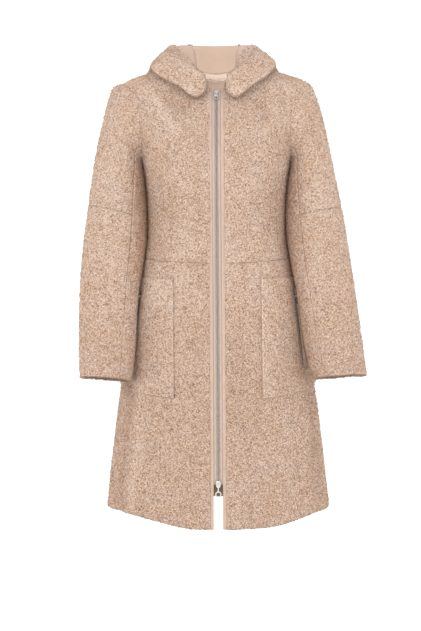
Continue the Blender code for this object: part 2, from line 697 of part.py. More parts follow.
# ------------------------------------------------------------------ hood
def drawn_round(circles, counts):
    """Path from the first point to the last, drawn like a cord round the circles between them.

    A circle with a positive radius is passed counter-clockwise and one with a negative radius
    clockwise. The counts give the steps on each straight run and each arc in turn.
    """
    centres = np.array([circle[:2] for circle in circles])
    radii = np.array([circle[2] for circle in circles])
    apart = np.diff(centres, axis=0)
    turn = np.arctan2(apart[:, 1], apart[:, 0])
    turn = turn - np.arcsin(np.clip(np.diff(radii) / np.linalg.norm(apart, axis=1), -1, 1))
    path = []
    for n in range(len(turn)):
        side = np.array([np.sin(turn[n]), -np.cos(turn[n])])
        start, end = centres[n] + radii[n] * side, centres[n + 1] + radii[n + 1] * side
        share = np.linspace(0, 1, counts[2 * n] + 1)[:, None]
        path.extend((start + share * (end - start))[: -1 if n < len(turn) - 1 else None])
        if n < len(turn) - 1:
            radius = radii[n + 1]
            sweep = (turn[n + 1] - turn[n]) * np.sign(radius)
            sweep = ((sweep + 0.6) % (2 * math.pi) - 0.6) * np.sign(radius)
            for angle in turn[n] + np.linspace(0, sweep, counts[2 * n + 1] + 1)[:-1]:
                path.append(centres[n + 1] + radius * np.array([np.sin(angle), -np.cos(angle)]))
    return np.array(path)


def hood_half(base):
    """Half of the hood, columns from the zip to the centre back, rows from the seam to the rim."""
    count = len(base)
    turns = np.degrees(neck_turns())
    size = {name: read_table(HOOD_SECTIONS, HOOD_COLUMNS, name, turns) for name in HOOD_COLUMNS}
    heading = np.radians(size["heading"])
    outwards = np.stack([np.sin(heading), -np.cos(heading), 0 * heading], axis=-1)
    grid = np.zeros((HOOD_STEPS + 1, count, 3))
    for c in range(count):
        circles = [(0.0, base[c, 2], 0.0)]
        for name, way in (("ridge", -1), ("fold", 1), ("hump", 1)):
            circles.append((size[f"{name}_out"][c], size[f"{name}_z"][c], way * size[f"{name}_radius"][c]))
        circles.append((size["rim_out"][c], size["rim_z"][c], 0.0))
        path = drawn_round(circles, HOOD_ROWS)
        grid[:, c] = base[c] + path[:, :1] * outwards[c]
        grid[:, c, 2] = path[:, 1]
    return grid


def longest_push(points, clearance):
    """The longest move, for each column of points, that takes one of them clear of the body."""
    pushes = keep_off_torso(points, clearance) - points
    longest = np.argmax(np.linalg.norm(pushes, axis=-1), axis=0)
    return pushes[longest, np.arange(points.shape[1])]


def build_hood(grids):
    """The hood's three pieces, as the middle of the cloth with offsets half a thickness long."""
    base, base_normals = panel_points(neckline(neck_turns()))
    half = hood_half(base)
    flip = np.array([-1.0, 1.0, 1.0])
    grid = np.concatenate([half, half[:, ::-1][:, 1:] * flip], axis=1)
    base = np.concatenate([base, base[::-1][1:] * flip])
    base_normals = np.concatenate([base_normals, base_normals[::-1][1:] * flip])
    lean = ease(np.arange(HOOD_STEPS + 1) / sum(HOOD_ROWS[:2]))[:, None]
    half_lean = ease((np.degrees(neck_turns()) - 12) / 60)
    lean = lean * np.concatenate([half_lean, half_lean[::-1][1:]])
    grid[..., 0] += HOOD_LEAN * lean
    ridge_end, fold, fold_end = (sum(HOOD_ROWS[:n]) for n in (2, 3, 4))
    clearance = HOOD_CLEARANCE + HOOD_CLOTH / 2
    rows = np.arange(HOOD_STEPS + 1)
    weight = np.interp(rows, [ridge_end, fold, fold_end, HOOD_STEPS], [0, 1, 1, 0])[:, None, None]
    for _ in range(4):
        lower = grid[ridge_end:fold_end]
        between = (lower[:-1, :-1] + lower[1:, 1:]) / 2, (lower[:-1, 1:] + lower[1:, :-1]) / 2
        gaps = longest_push(np.concatenate(between), clearance)
        push = longest_push(lower, clearance)
        for side in (slice(1, None), slice(None, -1)):
            longer = np.linalg.norm(gaps, axis=-1) > np.linalg.norm(push[side], axis=-1)
            push[side] = np.where(longer[:, None], gaps, push[side])
        grid = grid + weight * push
    grid[ridge_end:fold_end] = keep_off_torso(grid[ridge_end:fold_end], clearance)
    body_way = neckline_ways(grids)
    seam = mitre(base_normals, grid_normals(grid)[0], body_way, grid[1] - grid[0])
    seam[[0, -1], 0] = 0.0
    fade = ease(1 - np.arange(HOOD_STEPS + 1) / 2)[:, None, None]
    grid = grid - fade * seam * CLOTH / 2
    normals = grid_normals(grid)
    outer, inner = grid + normals * HOOD_CLOTH / 2, grid - normals * HOOD_CLOTH / 2
    outer[0], inner[0] = base, base - CLOTH * seam
    join_neckline(grids, seam)
    gusset, last = HOOD_GUSSET_COLUMN, grid.shape[1] - 1
    bounds = (("left", 0, gusset), ("gusset", gusset, last - gusset), ("right", last - gusset, last))
    for name, first, end in bounds:
        part = slice(first, end + 1)
        grids[f"hood_{name}"] = (outer[:, part], inner[:, part])


def neckline_ways(grids):
    """Directions from the neckline down into the bodice, from the left front round to the right."""
    f, start = FRONT_NECK_STEPS, SHOULDER_STEPS
    ways = {name: grids[name][0][-2] - grids[name][0][-1] for name in grids if "bodice" in name}
    left, right = ways["front_bodice_left"][:f], ways["front_bodice_right"][:f][::-1]
    return np.concatenate([left, ways["back_bodice"][start : start + BACK_NECK_STEPS + 1], right])


def join_neckline(grids, seam):
    """Gives the bodice panels the hood seam's mitred offsets along their neckline."""
    f = FRONT_NECK_STEPS
    grids["front_bodice_left"][1][-1, : f + 1] = seam[: f + 1]
    grids["front_bodice_right"][1][-1, : f + 1] = seam[::-1][: f + 1]
    start = SHOULDER_STEPS
    grids["back_bodice"][1][-1, start : start + BACK_NECK_STEPS + 1] = seam[f : f + BACK_NECK_STEPS + 1]


# ------------------------------------------------------------------ strips and trims
def form_depth_points(x, height, depth):
    """Points at a distance from the coat's middle plane, a depth in from the cloth's outer side."""
    x, height, depth = np.broadcast_arrays(x, height, depth)
    across = (np.abs(x) / torso_sizes(height)[0]) ** (SQUARENESS / 2)
    points, normals = with_folds(torso(np.sign(x) * np.arcsin(across), height))
    return points - depth[..., None] * normals


def neck_height_at(x):
    """Height of the neckline at a distance from the centre front."""
    return float(neckline(np.array([math.asin(abs(x) / NECK_HALF_WIDTH)]))[0, 1])


def build_zip_strips():
    top = neck_height_at(FRONT_EDGE_X) - ZIP_TOP_DROP
    for side, word in ((1, "left"), (-1, "right")):
        for name, inner_x, outer_x, outer_depth, inner_depth, bottom in ZIP_STRIPS:
            start = TOP_SLIDER_Z + SLIDER_CHAIN_END if name == "zip_chain" else top
            height = np.linspace(bottom, start, ZIP_STEPS + 1)[:, None]
            x = side * np.array([[inner_x, outer_x]])
            outer = form_depth_points(x, height, outer_depth)
            inner = form_depth_points(x, height, inner_depth)
            finish = {"zip_chain": METAL_TEETH, "zip_tape": TAPE, "zip_binding": SUEDE}[name]
            data = wall_mesh(name, sway(outer), sway(inner))
            place(f"{name}_{word}", data, finish)


# Outlines of the sliders and pulls in millimetres, across and along the zip.
SLIDER_OUTLINE = ((-3.0, -6.5), (3.0, -6.5), (4.6, -2.0), (4.6, 2.0), (3.4, 6.5), (-3.4, 6.5), (-4.6, 2.0), (-4.6, -2.0))


def prism(outline, low, high, hole=None):
    """A flat piece between two depths, with an outline across and along, and a hole if there is one."""
    mesh = bmesh.new()
    rings = []
    for points in (outline, hole) if hole else (outline,):
        rings.append([[mesh.verts.new((x, depth, z)) for x, z in points] for depth in (low, high)])
    for near, far in rings:
        for n in range(len(near)):
            m = (n + 1) % len(near)
            mesh.faces.new((near[n], near[m], far[m], far[n]))
    for level in (0, 1):
        if hole:
            rim, edge = rings[0][level], rings[1][level]
            for n in range(len(rim)):
                m = (n + 1) % len(rim)
                mesh.faces.new((rim[n], rim[m], edge[m], edge[n]))
        else:
            mesh.faces.new(rings[0][level])
    return finish_mesh("piece", mesh)


def circle_outline(radius, count=16, centre=(0.0, 0.0)):
    turns = [2 * math.pi * n / count for n in range(count)]
    return [(centre[0] + radius * math.sin(t), centre[1] + radius * math.cos(t)) for t in turns]


def turned(data, matrix):
    data.transform(matrix)
    return data


def joined(name, pieces):
    """The union of overlapping closed pieces as one mesh."""
    items = []
    for n, data in enumerate(pieces):
        item = bpy.data.objects.new(f"{name}_{n}", data)
        bpy.context.scene.collection.objects.link(item)
        items.append(item)
    for other in items[1:]:
        cut = items[0].modifiers.new("join", "BOOLEAN")
        cut.operation, cut.object, cut.solver = "UNION", other, "EXACT"
    depsgraph = bpy.context.evaluated_depsgraph_get()
    data = bpy.data.meshes.new_from_object(items[0].evaluated_get(depsgraph))
    for item in items:
        bpy.data.objects.remove(item)
    data.name = name
    data.shade_smooth()
    data.set_sharp_from_angle(angle=math.radians(40))
    return data


def millimetres(points):
    return [(x / 1000, z / 1000) for x, z in points]


def box_outline(x0, x1, z0, z1):
    return millimetres(((x0, z0), (x1, z0), (x1, z1), (x0, z1)))


def slider_mesh(name, wedge_way):
    """A slider in its own frame, where depth grows into the coat from the tape's middle."""
    mm = 0.001
    top = prism(millimetres(SLIDER_OUTLINE), -2.9 * mm, -1.7 * mm)
    bottom = prism(millimetres(SLIDER_OUTLINE), 1.9 * mm, 2.9 * mm)
    wedge = prism(box_outline(-2.4, 2.4, *sorted((3.6 * wedge_way, 6.2 * wedge_way))), -2.3 * mm, 2.4 * mm)
    return joined(name, [top, bottom, wedge, bail_mesh()])


def bail_mesh():
    """The arch that the pull hangs from, as one closed ring of bars on the slider's face."""
    mm = 0.001
    mesh = bmesh.new()
    outline = [(-3.1, -2.4), (3.1, -2.4), (3.1, -5.65), (-3.1, -5.65)]
    hole = [(-2.1, -2.75), (2.1, -2.75), (2.1, -4.55), (-2.1, -4.55)]
    levels = []
    for z in (-0.55, 0.55):
        levels.append([[mesh.verts.new((x * mm, y * mm, z * mm)) for x, y in ring] for ring in (outline, hole)])
    for ring in (0, 1):
        for n in range(4):
            m = (n + 1) % 4
            mesh.faces.new((levels[0][ring][n], levels[0][ring][m], levels[1][ring][m], levels[1][ring][n]))
    for level in levels:
        for n in range(4):
            m = (n + 1) % 4
            mesh.faces.new((level[0][n], level[0][m], level[1][m], level[1][n]))
    return finish_mesh("bail", mesh)


PULL_AXIS_DEPTH = -0.0051  # the bail's crossbar, out from the tape


def pull_mesh(name, length, ring_radius, hole_radius):
    """A pull that hangs down from its hinge, which is the local X axis."""
    mm = 0.001
    eye = prism(circle_outline(1.95 * mm, 10), -1.3 * mm, 1.3 * mm, circle_outline(0.95 * mm, 10))
    eye = turned(eye, Matrix.Rotation(math.pi / 2, 4, "Z"))
    neck = prism(box_outline(-1.1, 1.1, -1000 * (length - ring_radius) - 0.7, -1.6), -0.6 * mm, 0.6 * mm)
    ring = prism(
        circle_outline(ring_radius, 14, (0, -length)), -0.68 * mm, 0.52 * mm,
        circle_outline(hole_radius, 14, (0, -length)),
    )
    return joined(name, [eye, neck, ring])


def zip_frame(point, along, out):
    """Matrix whose Z runs up the zip, whose -Y points out of the cloth and whose X lies across it."""
    up = Vector(along).normalized()
    away = Vector(out).normalized()
    across = (-away).cross(up).normalized()
    back = up.cross(across)
    frame = Matrix((across, back, up)).transposed().to_4x4()
    frame.translation = Vector(point)
    return frame


def place_slider(name, frame, wedge_way, pull):
    place(f"{name}_slider", turned(slider_mesh(name, wedge_way), frame), METAL)
    data = turned(pull_mesh(name, *pull), frame.to_3x3().to_4x4())
    item = place(f"{name}_pull", data, METAL)
    item.location = frame @ Vector((0.0, PULL_AXIS_DEPTH, 0.0))


def build_front_sliders():
    depth = ZIP_STRIPS[1][3]
    for name, height, wedge_way, pull in (
        ("zip_top", TOP_SLIDER_Z, 1, (0.0125, 0.0043, 0.0024)),
        ("zip_bottom", BOTTOM_SLIDER_Z, -1, (0.0195, 0.0062, 0.0042)),
    ):
        point, above, below = (
            sway(form_depth_points(np.array(0.0), np.array(height + step), np.array(depth)))
            for step in (0.0, 0.006, -0.006)
        )
        along = above - below
        place_slider(name, zip_frame(point, along, np.cross((1.0, 0.0, 0.0), along)), wedge_way, pull)


# ------------------------------------------------------------------ pockets
def lifted(points, normals, low, high):
    """Outer and inner grids that lie on a panel, between two heights above its outer side."""
    return points + high * normals, points + low * normals


def build_pockets(grids):
    for word in ("left", "right"):
        rows = slice(POCKET_TOP_ROW, POCKET_BOTTOM_ROW + 1)
        columns = slice(POCKET_INNER_COLUMN, POCKET_SIDE_COLUMN + 1)
        points, normals = (grid[rows, columns] for grid in grids[f"front_skirt_{word}"])
        outer, inner = lifted(points, normals, PATCH_GAP, PATCH_GAP + POCKET_CLOTH)
        column, first = POCKET_SLOT_COLUMN - POCKET_INNER_COLUMN, POCKET_ZIP_ROW - POCKET_TOP_ROW
        slot = [(first + n, column) for n in range(POCKET_ZIP_ROWS)]
        cloth_wall(f"pocket_{word}", outer, inner, PILE, slot)
        rows = slice(first, first + POCKET_ZIP_ROWS + 1)
        build_pocket_zip(points[rows, column : column + 2], normals[rows, column : column + 2], word)


def build_pocket_zip(points, normals, word):
    """Welt, tapes, teeth, slider and pull in the slot of a pocket."""
    widths = np.linalg.norm(points[:, 1] - points[:, 0], axis=-1)[:, None]
    down = unit(points[-1] - points[0]).mean(axis=0)

    def strip(insets, low, high, cut=0.0):
        """A strip along the slot, between distances from its middle, cut short at both ends."""
        shares = (0.5 + np.broadcast_to(insets, (len(points), np.shape(insets)[-1])) / widths)[..., None]
        grid = points[:, :1] + shares * (points[:, 1:] - points[:, :1])
        ways = unit(normals[:, :1] + shares * (normals[:, 1:] - normals[:, :1]))
        grid[0] += cut * down
        grid[-1] -= cut * down
        return lifted(grid, ways, low, high)

    lip = POCKET_ZIP_HALF_WIDTH - 0.0030
    edge, one = widths / 2 - 0.0004, np.ones_like(widths)
    stations = np.concatenate([-edge, -lip * one, lip * one, edge], axis=1)
    whole = strip(stations, PATCH_GAP, PATCH_GAP + POCKET_CLOTH - 0.0006, 0.0004)
    short = strip(stations, PATCH_GAP, PATCH_GAP + POCKET_CLOTH - 0.0006, 0.0034)
    outer, inner = (np.concatenate([a[:1], b, a[-1:]]) for a, b in zip(whole, short))
    missing = [(row, 1) for row in range(1, outer.shape[0] - 2)]
    place(f"pocket_welt_{word}", wall_mesh("welt", sway(outer), sway(inner), missing), SUEDE)
    for label, first, last, low, high, finish in (
        ("tape_front", 0.3 - 1000 * lip, -1.7, 0.0006, 0.0015, TAPE),
        ("tape_back", 1.7, 1000 * lip - 0.3, 0.0006, 0.0015, TAPE),
        ("chain", -1.4, 1.4, 0.0006, 0.0027, METAL_TEETH),
    ):
        outer, inner = strip((first / 1000, last / 1000), low, high, 0.0038)
        place(f"pocket_{label}_{word}", wall_mesh(label, sway(outer), sway(inner)), finish)
    outer, _ = strip((0.0,), 0.0, 0.0030)
    point = sway(outer[0, 0] * 0.55 + outer[1, 0] * 0.45)
    frame = zip_frame(point, -down, unit(normals[0] + normals[1]).mean(axis=0))
    place(f"pocket_slider_{word}", turned(pocket_slider_mesh(), frame), METAL)
    data = turned(pull_mesh("pull", 0.0120, 0.0034, 0.0019), frame.to_3x3().to_4x4())
    item = place(f"pocket_pull_{word}", data, METAL)
    item.location = frame @ Vector((0.0, -0.0034, 0.0))


def pocket_slider_mesh():
    """A small slider that sits on the teeth, with its arch."""
    mm = 0.001
    small = [(0.72 * x, 0.62 * z) for x, z in SLIDER_OUTLINE]
    plate = prism(millimetres(small), -1.2 * mm, -0.1 * mm)
    arch = turned(bail_mesh(), Matrix.Translation((0.0, 1.7 * mm, 0.0)))
    return joined("pocket_slider", [plate, arch])


# ------------------------------------------------------------------ neck tape, loop and hood bindings
def build_neck(grids):
    """The tape that covers the seam inside the back neck, and the hanger loop under it."""
    start = SHOULDER_STEPS + 1
    columns = slice(start, start + BACK_NECK_STEPS - 1)
    bodice = grids["back_bodice"][0] - CLOTH * grids["back_bodice"][1]
    hood = hood_inner_whole(grids)[:, FRONT_NECK_STEPS + 1 : FRONT_NECK_STEPS + BACK_NECK_STEPS]
    seam = bodice[-1, columns]
    down = unit(bodice[-2, columns] - seam)
    up = unit(hood[1] - seam)
    low, high = seam + 0.009 * down, seam + 0.006 * up
    rows = np.stack([low, (low + seam) / 2, seam, (seam + high) / 2, high])
    inwards = unit(np.cross(np.gradient(rows, axis=1), np.gradient(rows, axis=0)))
    inwards *= np.sign(-np.sum(inwards * (rows - np.array([0, 0, -0.02])), axis=-1, keepdims=True))
    face, backing = rows + 0.0022 * inwards, rows + 0.0010 * inwards
    place("neck_tape", wall_mesh("neck_tape", sway(face), sway(backing)), TAPE)
    build_loop(face, inwards)


def build_loop(face, inwards):
    """A short band whose ends lie on the tape and whose middle stands off it."""
    centre_x = face[2, :, 0]
    order = np.argsort(centre_x)
    xs = np.linspace(LOOP_X - LOOP_LENGTH / 2, LOOP_X + LOOP_LENGTH / 2, 9)
    rows = []
    for row in (0, 1):
        band = np.stack([np.interp(xs, centre_x[order], face[row, order, n]) for n in range(3)], axis=-1)
        normal = np.stack([np.interp(xs, centre_x[order], inwards[row, order, n]) for n in range(3)], axis=-1)
        rows.append((band, normal))
    stand = LOOP_STAND * np.sin(np.linspace(0, math.pi, 9))[:, None] ** 0.7 + 0.0005
    backing = np.stack([band + stand * normal for band, normal in rows])
    front = np.stack([band + (stand + 0.0011) * normal for band, normal in rows])
    place("hanger_loop", wall_mesh("hanger_loop", sway(front), sway(backing)), TAPE)


def hood_inner_whole(grids):
    parts = [grids[f"hood_{name}"][1] for name in ("left", "gusset", "right")]
    return np.concatenate([parts[0], parts[1][:, 1:], parts[2][:, 1:]], axis=1)


def build_hood_bindings(grids):
    """Narrow bindings on the suede side, over the two seams of the hood's middle panel."""
    inner = hood_inner_whole(grids)
    last = inner.shape[1] - 1
    for word, column, way in (("left", HOOD_GUSSET_COLUMN, 1), ("right", last - HOOD_GUSSET_COLUMN, -1)):
        rows = slice(2, inner.shape[0] - 1)
        line = inner[rows, column]
        across = unit(inner[rows, column + 1] - inner[rows, column - 1])
        down = np.gradient(line, axis=0)
        normal = -unit(np.cross(across, down))
        half = BINDING_WIDTH / 2
        face = np.stack([line - half * across, line + half * across], axis=1) + 0.0022 * normal[:, None]
        backing = face - 0.0010 * normal[:, None]
        place(f"hood_binding_{word}", wall_mesh("binding", sway(face), sway(backing)), SUEDE)


# ------------------------------------------------------------------ main
def clear_scene():
    for item in list(bpy.data.objects):
        bpy.data.objects.remove(item)


def main():
    clear_scene()
    grids = build_body()
    build_sleeves(grids)
    build_hood(grids)
    build_neck(grids)
    build_hood_bindings(grids)
    split_sleeves(grids)
    for name, (outer, inner) in grids.items():
        if not name.startswith("hood"):
            inner = outer - CLOTH * inner
        cloth_wall(name, outer, inner, PILE)
    build_zip_strips()
    build_front_sliders()
    build_pockets(grids)


main()
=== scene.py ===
# %% [markdown]
# # A teddy coat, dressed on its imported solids
#
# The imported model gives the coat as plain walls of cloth: every panel, tape and slider has its true
# place there. This lesson dresses those walls. Each cloth wall becomes a smooth one with a curly
# pile outside and suede inside, and the zips get their coils, tapes and metal. Nothing is moved,
# so what is seen stays where the solids are.

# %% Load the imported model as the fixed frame
import math

import bmesh
import bpy
import numpy as np
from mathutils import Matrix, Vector, kdtree


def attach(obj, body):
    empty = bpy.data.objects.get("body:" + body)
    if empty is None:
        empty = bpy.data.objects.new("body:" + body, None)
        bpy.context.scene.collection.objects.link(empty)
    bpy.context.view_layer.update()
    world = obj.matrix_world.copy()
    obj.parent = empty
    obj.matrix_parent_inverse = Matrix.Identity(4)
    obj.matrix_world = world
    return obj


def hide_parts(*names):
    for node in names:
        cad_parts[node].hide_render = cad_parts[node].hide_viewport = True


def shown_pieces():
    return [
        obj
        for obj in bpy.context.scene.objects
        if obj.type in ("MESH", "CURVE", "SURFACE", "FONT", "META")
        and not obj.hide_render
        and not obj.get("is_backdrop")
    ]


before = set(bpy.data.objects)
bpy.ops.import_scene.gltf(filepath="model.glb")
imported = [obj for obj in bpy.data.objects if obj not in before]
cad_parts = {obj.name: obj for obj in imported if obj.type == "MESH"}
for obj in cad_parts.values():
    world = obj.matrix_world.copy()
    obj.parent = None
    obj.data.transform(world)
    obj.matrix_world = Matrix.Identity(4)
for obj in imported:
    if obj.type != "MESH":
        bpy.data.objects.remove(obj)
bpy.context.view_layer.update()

scene = bpy.context.scene

# %% [markdown]
# ## The photographer's corner
#
# The coat was photographed as on an unseen wearer, from straight ahead, against plain white. A long
# lens two and a half metres away keeps the sleeves and the hem from spreading. The small shift
# frames the coat as the photograph does, with the camera kept level so that upright lines stay
# upright.

# %% Camera
PHOTO_WIDTH, PHOTO_HEIGHT = 421, 631
CAMERA_DISTANCE = 2.5
CAMERA_HEIGHT = -0.359
LENS_PIXELS = 1202.0
CENTRE_COLUMN, LEVEL_ROW = 216.3, 238.0
SENSOR_HEIGHT = 36.0

lens = bpy.data.cameras.new("photo_lens")
lens.sensor_fit = "VERTICAL"
lens.sensor_height = SENSOR_HEIGHT
lens.lens = LENS_PIXELS / PHOTO_HEIGHT * SENSOR_HEIGHT
lens.shift_x = -(CENTRE_COLUMN - PHOTO_WIDTH / 2) / PHOTO_HEIGHT
lens.shift_y = (LEVEL_ROW - PHOTO_HEIGHT / 2) / PHOTO_HEIGHT
camera = bpy.data.objects.new("photo_camera", lens)
camera.location = (-0.0005, -CAMERA_DISTANCE, CAMERA_HEIGHT)
camera.rotation_euler = (math.radians(90), 0, 0)
scene.collection.objects.link(camera)
scene.camera = camera
print(f"lens {lens.lens:.1f} mm, shift {lens.shift_x:.4f}, {lens.shift_y:.4f}")

# %% [markdown]
# ## Small tools for materials
#
# A procedural material is a net of nodes. Two helpers keep the nets short: one adds a node and
# sets or links its inputs, the other starts a named group whose inputs and outputs can be used in
# several materials.


# %% Helpers that add nodes and start groups
def add_node(tree, kind, inputs=(), **settings):
    """A new node of that kind, with its settings and its inputs set or linked."""
    made = tree.nodes.new(kind)
    for key, value in settings.items():
        setattr(made, key, value)
    for key, value in dict(inputs).items():
        if isinstance(value, bpy.types.NodeSocket):
            tree.links.new(value, made.inputs[key])
        else:
            made.inputs[key].default_value = value
    return made


def arithmetic(tree, operation, first, second=0.0, third=0.0):
    """The result socket of one sum on two or three values."""
    values = {0: first, 1: second, 2: third}
    return add_node(tree, "ShaderNodeMath", values, operation=operation).outputs[0]


def mixed_colour(tree, share, first, second, blend="MIX"):
    """The colour socket of a mix of two colours."""
    made = add_node(tree, "ShaderNodeMix", data_type="RGBA", blend_type=blend)
    for key, value in ((0, share), (6, first), (7, second)):
        if isinstance(value, bpy.types.NodeSocket):
            tree.links.new(value, made.inputs[key])
        else:
            made.inputs[key].default_value = value
    return made.outputs[2]


def stretched(tree, value, low, high, out_low=0.0, out_high=1.0):
    """The value taken from one range to another, and kept inside it."""
    keys = {"Value": value, "From Min": low, "From Max": high, "To Min": out_low, "To Max": out_high}
    return add_node(tree, "ShaderNodeMapRange", keys).outputs[0]


SOCKETS = {"colour": "NodeSocketColor", "value": "NodeSocketFloat", "vector": "NodeSocketVector"}


def start_group(name, inputs, outputs):
    """A new node group with those inputs and outputs: (the tree, its input node, its output node)."""
    tree = bpy.data.node_groups.new(name, "ShaderNodeTree")
    for label, kind in inputs.items():
        tree.interface.new_socket(label, in_out="INPUT", socket_type=SOCKETS[kind])
    for label, kind in outputs.items():
        tree.interface.new_socket(label, in_out="OUTPUT", socket_type=SOCKETS[kind])
    return tree, tree.nodes.new("NodeGroupInput").outputs, tree.nodes.new("NodeGroupOutput").inputs


def use_group(tree, group, inputs):
    """The outputs of a group placed in a material's tree."""
    made = tree.nodes.new("ShaderNodeGroup")
    made.node_tree = bpy.data.node_groups[group]
    for key, value in inputs.items():
        if isinstance(value, bpy.types.NodeSocket):
            tree.links.new(value, made.inputs[key])
        else:
            made.inputs[key].default_value = value
    return made.outputs


# %% [markdown]
# ## Patches of nap
#
# Pile that has been brushed one way looks lighter than pile brushed the other way. On the coat
# this shows as soft patches as wide as a hand, with smaller ones inside. Two layers of noise in
# the coat's own coordinates make them, so they stay on the cloth from every side.

# %% Group: nap patches
tree, given, result = start_group(
    "nap_patches",
    {"Place": "vector", "Warm": "colour", "Pale": "colour", "Patch size": "value"},
    {"Colour": "colour"},
)
frequency = arithmetic(tree, "DIVIDE", 1.0, given["Patch size"])
wide_form = {"Vector": given["Place"], "Scale": frequency, "Detail": 2.0, "Roughness": 0.55}
wide = add_node(tree, "ShaderNodeTexNoise", wide_form)
narrow_frequency = arithmetic(tree, "MULTIPLY", frequency, 3.3)
narrow_form = {"Vector": given["Place"], "Scale": narrow_frequency, "Detail": 1.0, "Distortion": 0.6}
narrow = add_node(tree, "ShaderNodeTexNoise", narrow_form)
share = arithmetic(tree, "MULTIPLY", wide.outputs[0], 0.6)
share = arithmetic(tree, "MULTIPLY_ADD", narrow.outputs[0], 0.4, share)
patches = mixed_colour(tree, stretched(tree, share, 0.36, 0.64), given["Warm"], given["Pale"])
tree.links.new(patches, result["Colour"])
print("group nap_patches made")

# %% [markdown]
# ## Curls of the pile
#
# The pile is spun into tight curls two to four millimetres across. Round cells make the curls:
# their middles are high and the valleys between them low. A finer noise breaks each curl into
# fibres. The pile's material paints light on the middles and shade in the valleys.

# %% Group: curls
tree, given, result = start_group(
    "pile_curls",
    {"Place": "vector", "Curl size": "value"},
    {"Crown": "value"},
)
WOBBLE_REACH = 0.0032
wobble = add_node(tree, "ShaderNodeTexNoise", {"Vector": given["Place"], "Scale": 420.0, "Detail": 1.0})
even = {0: wobble.outputs[1], 1: (0.5, 0.5, 0.5)}
bent = add_node(tree, "ShaderNodeVectorMath", even, operation="SUBTRACT")
bent = add_node(tree, "ShaderNodeVectorMath", {0: bent.outputs[0], "Scale": WOBBLE_REACH}, operation="SCALE")
place = add_node(tree, "ShaderNodeVectorMath", {0: given["Place"], 1: bent.outputs[0]}, operation="ADD")
curl_frequency = arithmetic(tree, "DIVIDE", 1.0, given["Curl size"])
curl_form = {"Vector": place.outputs[0], "Scale": curl_frequency, "Randomness": 0.9}
cells = add_node(tree, "ShaderNodeTexVoronoi", curl_form, feature="SMOOTH_F1")
crown = stretched(tree, cells.outputs["Distance"], 0.15, 0.75, 1.0, 0.0)
fibre_form = {"Vector": place.outputs[0], "Scale": 900.0, "Detail": 2.0, "Roughness": 0.6}
fibres = add_node(tree, "ShaderNodeTexNoise", fibre_form)
FIBRE_SHARE = 0.38
crown_part = arithmetic(tree, "MULTIPLY", crown, 1 - FIBRE_SHARE)
fibre_part = arithmetic(tree, "MULTIPLY", fibres.outputs[0], FIBRE_SHARE)
tree.links.new(arithmetic(tree, "ADD", crown_part, fibre_part), result["Crown"])
print("group pile_curls made")

# %% [markdown]
# ## Weave, suede grain and handled metal
#
# The zip's tape is a herringbone of fine threads, the suede has a short even nap with faint
# marks, and the plated metal has rubbed places and tiny scratches. Each is one group that gives a
# value which changes over the surface, and every material sets its own strength.

# %% Group: herringbone tape
tree, given, result = start_group("tape_weave", {"Place": "vector", "Thread": "value"}, {"Weave": "value"})
parts = add_node(tree, "ShaderNodeSeparateXYZ", {0: given["Place"]})
turns = arithmetic(tree, "DIVIDE", 2 * math.pi, given["Thread"])
HERRINGBONE = 0.0016
zigzag = arithmetic(tree, "PINGPONG", parts.outputs["X"], HERRINGBONE)
slope = arithmetic(tree, "ADD", zigzag, parts.outputs["Z"])
ribs = arithmetic(tree, "SINE", arithmetic(tree, "MULTIPLY", slope, turns))
tree.links.new(stretched(tree, ribs, -1.0, 1.0), result["Weave"])
print("group tape_weave made")

# %% Group: suede grain
tree, given, result = start_group("suede_grain", {"Place": "vector"}, {"Mark": "value", "Height": "value"})
broad_form = {"Vector": given["Place"], "Scale": 26.0, "Detail": 3.0, "Distortion": 0.4}
broad = add_node(tree, "ShaderNodeTexNoise", broad_form)
fine_form = {"Vector": given["Place"], "Scale": 750.0, "Detail": 3.0, "Roughness": 0.7}
fine = add_node(tree, "ShaderNodeTexNoise", fine_form)
tree.links.new(stretched(tree, broad.outputs[0], 0.35, 0.65), result["Mark"])
tree.links.new(fine.outputs[0], result["Height"])
print("group suede_grain made")

# %% Group: handled metal
tree, given, result = start_group("handled_metal", {"Place": "vector"}, {"Wear": "value", "Height": "value"})
rubbed = add_node(tree, "ShaderNodeTexNoise", {"Vector": given["Place"], "Scale": 300.0, "Detail": 3.0})
strokes = add_node(tree, "ShaderNodeMapping", {"Vector": given["Place"], "Scale": (5200.0, 5200.0, 500.0)})
lines = add_node(tree, "ShaderNodeTexNoise", {"Vector": strokes.outputs[0], "Scale": 1.0, "Detail": 2.0})
tree.links.new(stretched(tree, rubbed.outputs[0], 0.3, 0.7), result["Wear"])
tree.links.new(lines.outputs[0], result["Height"])
print("groups:", sorted(group.name for group in bpy.data.node_groups))

# %% [markdown]
# ## The coat's materials
#
# Each material is one shader with its own numbers. What is the same all over, such as the sheen of
# the fibres, is set on the shader itself. What changes over the surface comes from the groups:
# colour from the patches and curls, and the bumps from the curls' height. The curls' crowns get
# painted light and their valleys painted shade. The pile also reads two values kept at each point
# of the mesh: how deep the point lies between clumps, which paints shade into the hollows, and
# painted light and shade laid on in strokes, along seams, and darker towards the bottom. The suede
# is pale where the hood and the bindings show it. Inside the sleeves and the skirt it is a deep
# brown, painted shade for the openings, which look dark.


# %% Helper that starts a material
def start_material(name, roughness, sheen=0.0, sheen_tint=(1, 1, 1, 1), specular=0.3, metallic=0.0):
    """A new material: (the material, its tree, its shader, the socket of places on the object)."""
    made = bpy.data.materials.new(name)
    made.use_nodes = True
    tree = made.node_tree
    shader = tree.nodes["Principled BSDF"]
    shader.inputs["Roughness"].default_value = roughness
    shader.inputs["Metallic"].default_value = metallic
    shader.inputs["Sheen Weight"].default_value = sheen
    shader.inputs["Sheen Roughness"].default_value = 0.45
    shader.inputs["Sheen Tint"].default_value = sheen_tint
    shader.inputs["Specular IOR Level"].default_value = specular
    return made, tree, shader, tree.nodes.new("ShaderNodeTexCoord").outputs["Object"]


